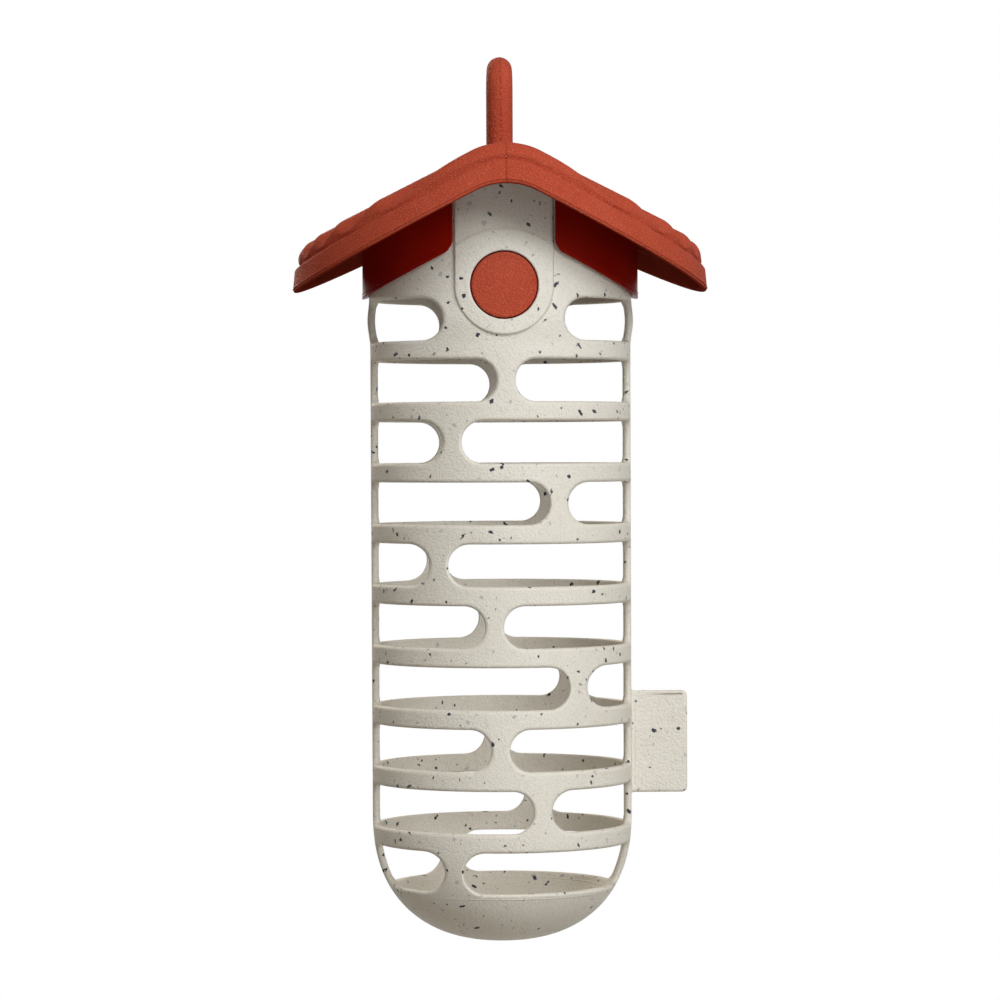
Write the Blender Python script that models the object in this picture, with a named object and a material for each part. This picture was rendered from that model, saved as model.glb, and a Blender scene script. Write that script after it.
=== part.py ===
"""Hanging suet feeder: a slotted cage of speckled plastic under a corrugated gable roof.

The roof hangs from its loop. A collar below the roof takes the neck of the cage, and two
spring arms in the roof put a round button through a hole in the front and rear of the neck.
Pressing both buttons frees the cage, which then slides down for filling.

Metres, +Z up. The origin is the inner top of the loop, where a branch hook carries it.
X runs down the slopes of the roof, and the front button faces -Y.
"""
import math

import bmesh
import bpy
from mathutils import Vector

MM = 0.001

# Running and seating clearances
FIT_GAP = 0.3 * MM
SLIDE_GAP = 0.35 * MM
CUT_OVERRUN = 5.0 * MM

# Hanging loop, one round rod bent to an arch across the ridge
LOOP_ROD_RADIUS = 4.0 * MM
LOOP_HALF_SPAN = 7.9 * MM
LOOP_HEIGHT = 23.8 * MM
LOOP_SOCKET_DEPTH = 15.5 * MM
LOOP_SOCKET_WALL = 2.0 * MM
LOOP_FOOT_CHAMFER = 0.6 * MM

# Roof, round in plan and bent to a gable along X, reaching out past the collar
ROOF_PITCH_ANGLE = math.radians(26.8)
CREST_BEND_RADIUS = 27.0 * MM
LEDGE_BEND_RADIUS = 22.0 * MM
EAVE_BEND_RADIUS = 17.0 * MM
LEDGE_BELOW_CREST = 4.8 * MM
FASCIA_HEIGHT = 7.2 * MM
EAVE_OVERHANG = 22.2 * MM
FASCIA_DRAFT = 0.5 * MM
FASCIA_WALL = 2.2 * MM
FASCIA_EDGE_ROUND = 0.8 * MM
RIDGE_PITCH = 12.0 * MM
RIDGE_DEPTH = 3.2 * MM
LEDGE_WIDTH = 1.7 * MM
RIDGED_EDGE_ROUND = 1.8 * MM
ROOF_WALL = 2.0 * MM
RIM_WIDTH = 2.0 * MM
RIM_ROOT = 1.0 * MM

# Collar under the roof, with a bead along its sloping lower edge
COLLAR_WALL = 1.75 * MM
COLLAR_BELOW_EAVE = 13.35 * MM
COLLAR_BEAD_HEIGHT = 1.3 * MM
COLLAR_BEAD_PROUD = 0.35 * MM
NOTCH_CORNER_RADIUS = 2.6 * MM
NOTCH_GAP = 0.5 * MM

# Cage tube
TUBE_RADIUS = 41.6 * MM
TUBE_FOOT_DRAFT = 0.15 * MM
TUBE_WALL = 2.6 * MM
NECK_STEP = 0.3 * MM
NECK_SWELL = 0.7 * MM
NECK_SWELL_HALF_HEIGHT = 8.0 * MM
CAGE_TOP_GAP = 0.6 * MM
BOWL_CENTRE_DROP = 233.3 * MM
BOWL_DEPTH = 41.0 * MM
BOWL_EXPONENT = 2.3
DRAIN_HOLE_RADIUS = 2.75 * MM

# Rows of slots cut straight through the tube along Y
ROW_COUNT = 10
FIRST_ROW_DROP = 76.6 * MM
ROW_PITCH = 19.2 * MM
SLOT_HEIGHT = 13.2 * MM
RAIL_THICKNESS = 2.45 * MM
SLOT_RAIL_CORNER = 2.2 * MM
WEB_WIDTH = 5.8 * MM
BOSS_WEB_WIDTH = 37.9 * MM
RAIL_DEPTH = 6.4 * MM
RAIL_NOSE_RADIUS = 1.2 * MM
RAIL_EAR_STEP = 0.1 * MM
# Where each row's web stands across the front, as a share of the slot's reach
WEB_CENTRE_SHARES = (0.0, 0.013, -0.415, 0.434, -0.524, -0.086, 0.587, -0.041, 0.295, -0.411)

# Keyhole-shaped boss on the front and rear of the neck, around the button
BOSS_HALF_WIDTH = 15.4 * MM
BOSS_PROUD = 2.6 * MM
BOSS_CROWN_RADIUS = 62.0 * MM
BOSS_EDGE_ROUND = 1.2 * MM
BOSS_WALL = 2.8 * MM
BOSS_ROOT_DEPTH = 9.5 * MM

# Button and the spring arm that carries it
BUTTON_DROP = 66.4 * MM
BUTTON_RADIUS = 10.5 * MM
BUTTON_PROUD = 0.2 * MM
BUTTON_EDGE_ROUND = 0.5 * MM
BUTTON_STUD_RADIUS = 3.0 * MM
BUTTON_STUD_HEAD_RADIUS = 4.2 * MM
BUTTON_STUD_HEAD_HEIGHT = 1.0 * MM
ARM_THICKNESS = 1.8 * MM
ARM_CHANNEL_GAP = 0.5 * MM
ARM_HALF_WIDTH = 6.5 * MM
ARM_PAD_OVERLAP = 1.2 * MM
ARM_PIVOT_DROP = 33.0 * MM
ARM_ABOVE_PIVOT = 0.6 * MM
ARM_ROOT_BACKING = 0.8 * MM

# Tag plate on the side rail
TAG_WIDTH = 18.1 * MM
TAG_TOP_DROP = 194.3 * MM
TAG_HEIGHT = 32.8 * MM
TAG_THICKNESS = 2.5 * MM
TAG_CORNER_RADIUS = 1.6 * MM
TAG_BORDER = 1.1 * MM
TAG_FIELD_DEPTH = 0.35 * MM

# Facets
TUBE_SEGMENTS = 40
ROOF_SEGMENTS = 60
SAMPLES_PER_RIDGE = 6
BOWL_STEPS = 7
SWELL_STEPS = 2
SLOT_END_STEPS = 6
CORNER_STEPS = 2
BUTTON_SEGMENTS = 24
ROD_SEGMENTS = 16
LOOP_BEND_STEPS = 10
GABLE_BEND_STEPS = 2
TOP_BEND_STEPS = 4
# The last row of the round plan, as a share of its radius
END_ROW_SHARE = 0.9993
# Least half-width of the stations near a row's end, as shares of the row's half-length
EDGE_SHARES = (0.93, 0.85)
# The round bend of the gable takes up to this share of a short row
BEND_LIMIT_SHARE = 0.8

# Colours of the two plastics, linear RGB
BRICK_RED = (0.40, 0.052, 0.022)
SPECKLED_BEIGE = (0.64, 0.60, 0.50)

# Places worked out from the sizes above
CREST_Z = -LOOP_HEIGHT
LEDGE_Z = CREST_Z - LEDGE_BELOW_CREST
EAVE_Z = LEDGE_Z - FASCIA_HEIGHT
NECK_RADIUS = TUBE_RADIUS + NECK_STEP
COLLAR_INNER = NECK_RADIUS + SLIDE_GAP
COLLAR_RADIUS = COLLAR_INNER + COLLAR_WALL
FASCIA_RADIUS = COLLAR_RADIUS + EAVE_OVERHANG
RIDGED_RADIUS = FASCIA_RADIUS - LEDGE_WIDTH
TAG_REACH = TUBE_RADIUS + TAG_WIDTH
NOTCH_HALF_WIDTH = BOSS_HALF_WIDTH + NOTCH_GAP
BOSS_FACE = TUBE_RADIUS + BOSS_PROUD
CHANNEL_HALF_WIDTH = BOSS_HALF_WIDTH - BOSS_WALL
CHANNEL_FACE = BOSS_FACE - BOSS_WALL
ARM_OUTER = CHANNEL_FACE - ARM_CHANNEL_GAP
ARM_INNER = ARM_OUTER - ARM_THICKNESS
ARM_PAD_RADIUS = BUTTON_RADIUS + ARM_PAD_OVERLAP
BUTTON_HOLE_RADIUS = BUTTON_RADIUS + FIT_GAP
SLOT_REACH = TUBE_RADIUS - RAIL_THICKNESS
ARM_TOP_Z = -ARM_PIVOT_DROP + ARM_ABOVE_PIVOT
LOOP_FOOT_Z = CREST_Z - LOOP_SOCKET_DEPTH
# How far inside the round edge a row needs a point
EDGE_INSETS = (RIDGED_EDGE_ROUND / 2, RIM_WIDTH + RIDGED_EDGE_ROUND / 3)


def clear_scene():
    for thing in list(bpy.data.objects):
        bpy.data.objects.remove(thing, do_unlink=True)


def material(name, colour, roughness):
    made = bpy.data.materials.new(name)
    made.use_nodes = True
    shader = made.node_tree.nodes["Principled BSDF"]
    shader.inputs["Base Color"].default_value = (*colour, 1.0)
    shader.inputs["Roughness"].default_value = roughness
    shader.inputs["Metallic"].default_value = 0.0
    made.diffuse_color = (*colour, 1.0)
    return made


def object_from(name, bm):
    """Turn a bmesh into a named object with outward faces."""
    bmesh.ops.recalc_face_normals(bm, faces=bm.faces)
    mesh = bpy.data.meshes.new(name)
    bm.to_mesh(mesh)
    bm.free()
    made = bpy.data.objects.new(name, mesh)
    bpy.context.collection.objects.link(made)
    return made


def apply_modifiers(thing):
    """Replace an object's mesh by its evaluated one."""
    graph = bpy.context.evaluated_depsgraph_get()
    result = bpy.data.meshes.new_from_object(thing.evaluated_get(graph))
    thing.modifiers.clear()
    thing.data = result


def combine(target, tool, operation):
    """Apply one exact Boolean to the target and remove the tool."""
    step = target.modifiers.new(operation.lower(), "BOOLEAN")
    step.operation = operation
    step.solver = "EXACT"
    step.object = tool
    apply_modifiers(target)
    bpy.data.objects.remove(tool, do_unlink=True)


def joined(name, things):
    """One object from several that don't touch, so that one Boolean takes them together."""
    bm = bmesh.new()
    for thing in things:
        thing.data.transform(thing.matrix_basis)
        bm.from_mesh(thing.data)
        bpy.data.objects.remove(thing, do_unlink=True)
    return object_from(name, bm)


def finish(thing, plastic, smooth_angle=math.radians(35)):
    """Give a piece its plastic and its smooth shading."""
    thing.data.materials.clear()
    thing.data.materials.append(plastic)
    thing.data.shade_smooth()
    thing.data.set_sharp_from_angle(angle=smooth_angle)
    return thing


def arc(centre, radius, start, end, steps):
    """Points along an arc, angles in degrees, both ends included."""
    turns = [math.radians(start + (end - start) * i / steps) for i in range(steps + 1)]
    return [(centre[0] + radius * math.cos(a), centre[1] + radius * math.sin(a)) for a in turns]


def prism_along_y(name, outline, near, far):
    """Extrude an outline of (x, z) points from y = near to y = far."""
    bm = bmesh.new()
    face = bm.faces.new([bm.verts.new((x, near, z)) for x, z in outline])
    swept = bmesh.ops.extrude_face_region(bm, geom=[face])
    moved = [v for v in swept["geom"] if isinstance(v, bmesh.types.BMVert)]
    bmesh.ops.translate(bm, verts=moved, vec=(0, far - near, 0))
    return object_from(name, bm)


def loft(name, sections, closed=False):
    """Skin a row of point loops of equal count, with flat end caps unless it closes on itself."""
    bm = bmesh.new()
    loops = [[bm.verts.new(p) for p in section] for section in sections]
    pairs = list(zip(loops, loops[1:]))
    if closed:
        pairs.append((loops[-1], loops[0]))
    count = len(loops[0])
    for one, two in pairs:
        for i in range(count):
            bm.faces.new((one[i], one[(i + 1) % count], two[(i + 1) % count], two[i]))
    if not closed:
        bm.faces.new(loops[0])
        bm.faces.new(loops[-1])
    return object_from(name, bm)


def turned(name, profile, segments):
    """Turn a profile of (radius, z) points about Z. Its ends lie on the axis."""
    bm = bmesh.new()
    rings = []
    for radius, z in profile:
        if radius == 0:
            rings.append([bm.verts.new((0, 0, z))])
            continue
        turns = [math.tau * i / segments for i in range(segments)]
        rings.append([bm.verts.new((radius * math.cos(a), radius * math.sin(a), z)) for a in turns])
    for low, high in zip(rings, rings[1:]):
        for i in range(segments):
            corners = [low[i % len(low)], low[(i + 1) % len(low)]]
            corners += [high[(i + 1) % len(high)], high[i % len(high)]]
            bm.faces.new(list(dict.fromkeys(corners)))
    return object_from(name, bm)


def gable_drop(x, bend_radius):
    """How far a gable line lies below its apex: a round bend, then a straight slope."""
    bend_half = bend_radius * math.sin(ROOF_PITCH_ANGLE)
    if abs(x) <= bend_half:
        return bend_radius - math.sqrt(bend_radius ** 2 - x ** 2)
    bend_drop = bend_radius * (1 - math.cos(ROOF_PITCH_ANGLE))
    return bend_drop + (abs(x) - bend_half) * math.tan(ROOF_PITCH_ANGLE)


def crest_line(x):
    return CREST_Z - gable_drop(x, CREST_BEND_RADIUS)


def ledge_line(x):
    return LEDGE_Z - gable_drop(x, LEDGE_BEND_RADIUS)


def eave_line(x):
    return EAVE_Z - gable_drop(x, EAVE_BEND_RADIUS)


def collar_line(x):
    return eave_line(x) - COLLAR_BELOW_EAVE


def cage_top_line(x):
    """The cage stops just short of the roof's underside at its lowest, the valleys."""
    return crest_line(x) - RIDGE_DEPTH - ROOF_WALL - CAGE_TOP_GAP


def ridged_top(x, y):
    """Height of the corrugated upper surface, rounded down at its round edge."""
    valley = math.sin(math.pi * y / RIDGE_PITCH) ** 2
    past = math.hypot(x, y) - (RIDGED_RADIUS - RIDGED_EDGE_ROUND)
    past = min(max(past, 0.0), RIDGED_EDGE_ROUND)
    edge = RIDGED_EDGE_ROUND - math.sqrt(RIDGED_EDGE_ROUND ** 2 - past ** 2)
    return crest_line(x) - RIDGE_DEPTH * valley - edge


def ridged_underside(x, y):
    """The underside follows the corrugation, and the rim reaches down into the fascia."""
    if math.hypot(x, y) > RIDGED_RADIUS - RIM_WIDTH:
        return ledge_line(x) - RIM_ROOT
    valley = math.sin(math.pi * y / RIDGE_PITCH) ** 2
    return crest_line(x) - RIDGE_DEPTH * valley - ROOF_WALL


def plan_rows(radius, between):
    """Rows across Y: even steps on the ridges, or between them, and one near each round end."""
    step = RIDGE_PITCH / SAMPLES_PER_RIDGE
    shift = 0.5 if between else 0
    count = int(radius / step - shift)
    rows = [step * (i + shift) for i in range(-count - int(between), count + 1)]
    return [-radius * END_ROW_SHARE] + rows + [radius * END_ROW_SHARE]


def row_stations(radius, y):
    """Places along one row: the round bend of the gable, the slopes and the rounded edge."""
    half = math.sqrt(radius ** 2 - y ** 2)
    edges = [half]
    for inset, share in zip(EDGE_INSETS, EDGE_SHARES):
        inner = max(radius - inset, abs(y))
        edges.append(max(math.sqrt(inner ** 2 - y ** 2), half * share))
    bend_half = CREST_BEND_RADIUS * math.sin(ROOF_PITCH_ANGLE)
    bend_half = min(bend_half, edges[-1] * BEND_LIMIT_SHARE)
    steps = range(-GABLE_BEND_STEPS, GABLE_BEND_STEPS + 1)
    bend = [bend_half * i / GABLE_BEND_STEPS for i in steps]
    return [-x for x in edges] + bend + edges[::-1]


def round_plan_solid(name, radius, top, bottom, between=False):
    """A solid on a round plan between two height functions, on rows that run along X."""
    plan = [[(x, y) for x in row_stations(radius, y)] for y in plan_rows(radius, between)]
    bm = bmesh.new()
    upper = [[bm.verts.new((x, y, top(x, y))) for x, y in row] for row in plan]
    lower = [[bm.verts.new((x, y, bottom(x, y))) for x, y in row] for row in plan]
    last_row, last_column = len(plan) - 1, len(plan[0]) - 1
    for grid in (upper, lower):
        for one, two in zip(grid, grid[1:]):
            for i in range(last_column):
                bm.faces.new((one[i], one[i + 1], two[i + 1], two[i]))
    border = [(row, 0) for row in range(last_row)]
    border += [(last_row, i) for i in range(last_column)]
    border += [(row, last_column) for row in range(last_row, 0, -1)]
    border += [(0, i) for i in range(last_column, 0, -1)]
    for (j, i), (k, m) in zip(border, border[1:] + border[:1]):
        bm.faces.new((upper[j][i], upper[k][m], lower[k][m], lower[j][i]))
    return object_from(name, bm)


def swept_ring(name, profile):
    """A ring round Z whose section rises and falls with the gable lines.

    The profile is a list of (radius, line, offset): a line gives the height at x.
    """
    sections = []
    for i in range(ROOF_SEGMENTS):
        turn = math.tau * (i + 0.5) / ROOF_SEGMENTS
        x = profile[0][0] * math.cos(turn)
        ring = []
        for radius, line, offset in profile:
            ring.append((radius * math.cos(turn), radius * math.sin(turn), line(x) + offset))
        sections.append(ring)
    return loft(name, sections, closed=True)


def above_line(name, line, reach, height):
    """A block over a gable line, for cutting tops and edges to the shape of the roof."""
    bend_half = CREST_BEND_RADIUS * math.sin(ROOF_PITCH_ANGLE)
    steps = range(-TOP_BEND_STEPS, TOP_BEND_STEPS + 1)
    stations = [-reach] + [bend_half * i / TOP_BEND_STEPS for i in steps] + [reach]
    outline = [(x, line(x)) for x in stations]
    outline += [(reach, height), (-reach, height)]
    return prism_along_y(name, outline, -reach, reach)


def fascia():
    """The vertical skirt round the edge, with a rounded shoulder below the ridges."""
    top_radius = FASCIA_RADIUS - FASCIA_DRAFT
    inner_top = top_radius - FASCIA_WALL
    inner_foot = FASCIA_RADIUS - FASCIA_WALL
    lip = FASCIA_EDGE_ROUND / 3
    profile = [
        (FASCIA_RADIUS, eave_line, 0),
        (top_radius, ledge_line, -FASCIA_EDGE_ROUND),
        (top_radius - lip, ledge_line, -lip),
        (top_radius - FASCIA_EDGE_ROUND, ledge_line, 0),
        (inner_top, ledge_line, 0),
        (inner_foot, eave_line, 0),
    ]
    return swept_ring("fascia", profile)


def notch_outline():
    """The gap in the collar for the cage's boss, with its two lower corners rounded."""
    slope = ROOF_PITCH_ANGLE
    corner_x = NOTCH_HALF_WIDTH + NOTCH_CORNER_RADIUS
    corner_z = collar_line(corner_x) + NOTCH_CORNER_RADIUS / math.cos(slope)
    corner = arc((corner_x, corner_z), NOTCH_CORNER_RADIUS, 180, 270 - math.degrees(slope), CORNER_STEPS)
    foot = collar_line(corner_x) - CUT_OVERRUN
    right = [(NOTCH_HALF_WIDTH, 0)] + corner + [(corner[-1][0], foot)]
    left = [(-x, z) for x, z in reversed(right)]
    return right + left


def collar():
    """The sleeve that takes the neck of the cage, notched front and rear."""
    bead_radius = COLLAR_RADIUS + COLLAR_BEAD_PROUD
    rise = COLLAR_BELOW_EAVE + FASCIA_HEIGHT + LEDGE_BELOW_CREST
    profile = [
        (COLLAR_INNER, collar_line, 0),
        (bead_radius, collar_line, 0),
        (bead_radius, collar_line, COLLAR_BEAD_HEIGHT),
        (COLLAR_RADIUS, collar_line, COLLAR_BEAD_HEIGHT + COLLAR_BEAD_PROUD),
        (COLLAR_RADIUS, collar_line, rise),
        (COLLAR_INNER, collar_line, rise),
    ]
    sleeve = swept_ring("collar", profile)
    reach = COLLAR_RADIUS + CUT_OVERRUN
    combine(sleeve, prism_along_y("notch", notch_outline(), -reach, reach), "DIFFERENCE")
    return sleeve


def arm_root(side):
    """The short lug under the roof that a spring arm grows from."""
    foot = ARM_TOP_Z + FIT_GAP
    outline = [(-ARM_HALF_WIDTH, foot), (ARM_HALF_WIDTH, foot), (ARM_HALF_WIDTH, CREST_Z)]
    outline += [(-ARM_HALF_WIDTH, CREST_Z)]
    return prism_along_y("arm_root", outline, side * ARM_OUTER, side * (ARM_INNER - ARM_ROOT_BACKING))


def loop_sockets():
    """One boss under the ridge that holds both feet of the loop."""
    half = LOOP_ROD_RADIUS + FIT_GAP + LOOP_SOCKET_WALL
    floor = LOOP_FOOT_Z - FIT_GAP - LOOP_SOCKET_WALL
    bm = bmesh.new()
    front = arc((0, -LOOP_HALF_SPAN), half, 180, 360, ROD_SEGMENTS)
    rear = arc((0, LOOP_HALF_SPAN), half, 0, 180, ROD_SEGMENTS)
    face = bm.faces.new([bm.verts.new((x, y, floor)) for x, y in front + rear])
    swept = bmesh.ops.extrude_face_region(bm, geom=[face])
    moved = [v for v in swept["geom"] if isinstance(v, bmesh.types.BMVert)]
    bmesh.ops.translate(bm, verts=moved, vec=(0, 0, CREST_Z - floor))
    return object_from("loop_sockets", bm)


def loop_hole(side):
    """The blind hole for one foot of the loop."""
    radius = LOOP_ROD_RADIUS + FIT_GAP
    floor = LOOP_FOOT_Z - FIT_GAP
    hole = turned("loop_hole", [(0, floor), (radius, floor), (radius, 0), (0, 0)], ROD_SEGMENTS)
    hole.location.y = side * LOOP_HALF_SPAN
    return hole


def roof():
    """Corrugated shell, fascia, collar, arm roots and loop sockets, one red moulding."""
    body = round_plan_solid("roof", RIDGED_RADIUS, ridged_top, ridged_underside)
    inner = collar()
    combine(inner, joined("inside", [arm_root(-1), arm_root(1), loop_sockets()]), "UNION")

    def under_skin(x, y):
        return ridged_top(x, y) - ROOF_WALL / 2

    def far_below(x, y):
        return collar_line(FASCIA_RADIUS)

    reach = (COLLAR_RADIUS + RIDGED_RADIUS) / 2
    skin = round_plan_solid("under_skin", reach, under_skin, far_below, between=True)
    combine(inner, skin, "INTERSECT")
    combine(body, inner, "UNION")
    combine(body, fascia(), "UNION")
    combine(body, joined("loop_holes", [loop_hole(-1), loop_hole(1)]), "DIFFERENCE")
    return body


def hanging_loop():
    """A round rod bent to an arch in the YZ plane, with both feet chamfered."""
    bend_z = LOOP_ROD_RADIUS - LOOP_HALF_SPAN
    stations = [(-LOOP_HALF_SPAN, LOOP_FOOT_Z, 180, LOOP_ROD_RADIUS - LOOP_FOOT_CHAMFER)]
    stations.append((-LOOP_HALF_SPAN, LOOP_FOOT_Z + LOOP_FOOT_CHAMFER, 180, LOOP_ROD_RADIUS))
    for i in range(LOOP_BEND_STEPS + 1):
        angle = 180 - 180 * i / LOOP_BEND_STEPS
        y = LOOP_HALF_SPAN * math.cos(math.radians(angle))
        z = bend_z + LOOP_HALF_SPAN * math.sin(math.radians(angle))
        stations.append((y, z, angle, LOOP_ROD_RADIUS))
    stations.append((LOOP_HALF_SPAN, LOOP_FOOT_Z + LOOP_FOOT_CHAMFER, 0, LOOP_ROD_RADIUS))
    stations.append((LOOP_HALF_SPAN, LOOP_FOOT_Z, 0, LOOP_ROD_RADIUS - LOOP_FOOT_CHAMFER))
    sections = []
    for y, z, angle, radius in stations:
        outward = Vector((0, math.cos(math.radians(angle)), math.sin(math.radians(angle))))
        ring = []
        for k in range(ROD_SEGMENTS):
            turn = math.tau * k / ROD_SEGMENTS
            offset = Vector((radius * math.sin(turn), 0, 0)) + outward * radius * math.cos(turn)
            ring.append(Vector((0, y, z)) + offset)
        sections.append(ring)
    return loft("hanging_loop", sections)


def keyhole(half_width, top, centre_z, radius, steps):
    """A strip that ends in a round pad: (x, z) points, anticlockwise from the top right."""
    join = math.degrees(math.asin(half_width / radius))
    pad = arc((0, centre_z), radius, 90 + join, 450 - join, steps)
    return [(half_width, top), (-half_width, top)] + pad


def rounded_boss(side):
    """The raised keyhole on the neck, crowned across its width, with a rounded edge."""
    top = CREST_Z + CUT_OVERRUN
    outline = keyhole(BOSS_HALF_WIDTH, top, -BUTTON_DROP, BOSS_HALF_WIDTH, 2 * SLOT_END_STEPS)
    back = side * (BOSS_FACE - BOSS_ROOT_DEPTH)
    boss = prism_along_y("boss", outline, side * (BOSS_FACE + CUT_OVERRUN), back)
    half = 2 * BOSS_HALF_WIDTH
    low, high = -BUTTON_DROP - half, CUT_OVERRUN
    inner = BOSS_CROWN_RADIUS - BOSS_ROOT_DEPTH - CUT_OVERRUN
    reach = math.degrees(math.asin(half / BOSS_CROWN_RADIUS))
    centre = (0, side * (BOSS_FACE - BOSS_CROWN_RADIUS))
    aim = 90 * side
    crown = arc(centre, BOSS_CROWN_RADIUS, aim - reach, aim + reach, 2 * SLOT_END_STEPS)
    crown += arc(centre, inner, aim + reach, aim - reach, 2)
    sections = [[(x, y, z) for x, y in crown] for z in (low, high)]
    combine(boss, loft("crown", sections), "INTERSECT")
    edge = boss.modifiers.new("edge", "BEVEL")
    edge.width = BOSS_EDGE_ROUND
    edge.segments = 2
    edge.limit_method = "ANGLE"
    edge.angle_limit = math.radians(60)
    apply_modifiers(boss)
    return boss


def superellipse(share):
    """Half-width of the bowl at a share of its depth, as a share of the tube's radius."""
    return (1 - share ** BOWL_EXPONENT) ** (1 / BOWL_EXPONENT)


def outer_radius(z):
    """The cage's outline: a superellipse bowl, a tube and a swell at the first row of slots."""
    if z < -BOWL_CENTRE_DROP:
        below = min((-BOWL_CENTRE_DROP - z) / BOWL_DEPTH, 1)
        return (TUBE_RADIUS - TUBE_FOOT_DRAFT) * superellipse(below)
    along = min(max((z + FIRST_ROW_DROP) / NECK_SWELL_HALF_HEIGHT, -1), 1)
    straight = TUBE_RADIUS + (NECK_RADIUS - TUBE_RADIUS) * (along + 1) / 2
    swell = NECK_SWELL * (1 + math.cos(math.pi * along)) / 2
    down_the_tube = min(max((z + FIRST_ROW_DROP) / (FIRST_ROW_DROP - BOWL_CENTRE_DROP), 0), 1)
    return straight + swell - TUBE_FOOT_DRAFT * down_the_tube


def bowl_profile(radius, depth):
    """The bowl from its pole up to the tube, in even turns."""
    profile = [(0, -BOWL_CENTRE_DROP - depth)]
    for i in range(1, BOWL_STEPS + 1):
        share = math.cos(math.pi / 2 * i / BOWL_STEPS) ** (2 / BOWL_EXPONENT)
        share = share if i < BOWL_STEPS else 0
        profile.append((radius * superellipse(share), -BOWL_CENTRE_DROP - depth * share))
    return profile


def tube_profile():
    """Outer outline of the cage from the pole of the bowl up to above the neck."""
    profile = bowl_profile(outer_radius(-BOWL_CENTRE_DROP), BOWL_DEPTH)
    for i in range(-SWELL_STEPS, SWELL_STEPS + 1):
        z = -FIRST_ROW_DROP + NECK_SWELL_HALF_HEIGHT * i / SWELL_STEPS
        profile.append((outer_radius(z), z))
    return profile + [(NECK_RADIUS, CREST_Z), (0, CREST_Z)]


def slot_loop(web_x, rail_x, sign, centre_z):
    """Outline of one slot: a full round end at the web and small corners at the rail."""
    half = SLOT_HEIGHT / 2
    corner = SLOT_RAIL_CORNER
    web_end = arc((web_x + half, centre_z), half, 90, 270, SLOT_END_STEPS)
    low = arc((rail_x - corner, centre_z - half + corner), corner, 270, 360, CORNER_STEPS)
    high = arc((rail_x - corner, centre_z + half - corner), corner, 0, 90, CORNER_STEPS)
    rail_end = [(x + outer_radius(z) - TUBE_RADIUS, z) for x, z in low + high]
    return [(sign * x, z) for x, z in web_end + rail_end]


def slot_cutter(web_x, sign, centre_z):
    """A cut along Y. It reaches past the tube except at the rail, which is left as a bead."""
    nose = arc((RAIL_DEPTH / 2 - RAIL_NOSE_RADIUS, RAIL_NOSE_RADIUS), RAIL_NOSE_RADIUS, 270, 360, 1)
    far = TUBE_RADIUS + NECK_SWELL + CUT_OVERRUN
    side = [(y, SLOT_REACH + rise) for y, rise in nose]
    side += [(RAIL_DEPTH / 2 + RAIL_EAR_STEP, far), (BOSS_FACE + CUT_OVERRUN, far)]
    path = [(-y, x) for y, x in reversed(side)] + side
    sections = []
    for y, rail_x in path:
        sections.append([(x, y, z) for x, z in slot_loop(web_x, rail_x, sign, centre_z)])
    return loft("slot", sections)


def slot_cutters():
    """Ten rows of slots, two to a row, either side of a web that wanders from row to row."""
    cutters = []
    for row in range(ROW_COUNT):
        centre_z = -FIRST_ROW_DROP - ROW_PITCH * row
        web = WEB_CENTRE_SHARES[row % len(WEB_CENTRE_SHARES)] * SLOT_REACH
        half_web = (BOSS_WEB_WIDTH if row == 0 else WEB_WIDTH) / 2
        cutters.append(slot_cutter(half_web + web, 1, centre_z))
        cutters.append(slot_cutter(half_web - web, -1, centre_z))
    return cutters


def tag_outline(inset, inner_x):
    """A plate with its two free corners rounded."""
    right = TAG_REACH - inset
    top = -TAG_TOP_DROP - inset
    low = -TAG_TOP_DROP - TAG_HEIGHT + inset
    radius = TAG_CORNER_RADIUS
    corner = arc((right - radius, low + radius), radius, 270, 360, CORNER_STEPS)
    corner += arc((right - radius, top - radius), radius, 0, 90, CORNER_STEPS)
    return [(inner_x, low)] + corner + [(inner_x, top)]


def tag():
    """The plate that stands off the side rail."""
    rail_middle = (SLOT_REACH + TUBE_RADIUS) / 2
    return prism_along_y("tag", tag_outline(0, rail_middle), -TAG_THICKNESS / 2, TAG_THICKNESS / 2)


def tag_field(side):
    """The sunk field of the tag's front or rear face, inside its border."""
    outline = tag_outline(TAG_BORDER, TUBE_RADIUS + 2 * TAG_BORDER)
    floor = side * (TAG_THICKNESS / 2 - TAG_FIELD_DEPTH)
    return prism_along_y("field", outline, floor, side * TAG_THICKNESS)


def bore():
    """The inside of the tube and bowl."""
    radius = TUBE_RADIUS - TUBE_WALL
    profile = bowl_profile(radius, BOWL_DEPTH - TUBE_WALL)
    profile += [(radius, CUT_OVERRUN), (0, CUT_OVERRUN)]
    return turned("bore", profile, TUBE_SEGMENTS)


def channel():
    """The way behind both bosses for the spring arms."""
    half = CHANNEL_HALF_WIDTH
    outline = keyhole(half, CUT_OVERRUN, -BUTTON_DROP, half, 2 * SLOT_END_STEPS)
    return prism_along_y("channel", outline, -CHANNEL_FACE, CHANNEL_FACE)


def button_hole():
    """One hole through both bosses."""
    outline = arc((0, -BUTTON_DROP), BUTTON_HOLE_RADIUS, 0, 360, BUTTON_SEGMENTS)[:-1]
    reach = BOSS_FACE + CUT_OVERRUN
    return prism_along_y("button_hole", outline, -reach, reach)


def drain():
    """The hole at the lowest point of the bowl."""
    pole = -BOWL_CENTRE_DROP - BOWL_DEPTH
    low, high = pole - CUT_OVERRUN, pole + CUT_OVERRUN
    profile = [(0, low), (DRAIN_HOLE_RADIUS, low), (DRAIN_HOLE_RADIUS, high), (0, high)]
    return turned("drain", profile, ROD_SEGMENTS)


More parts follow.
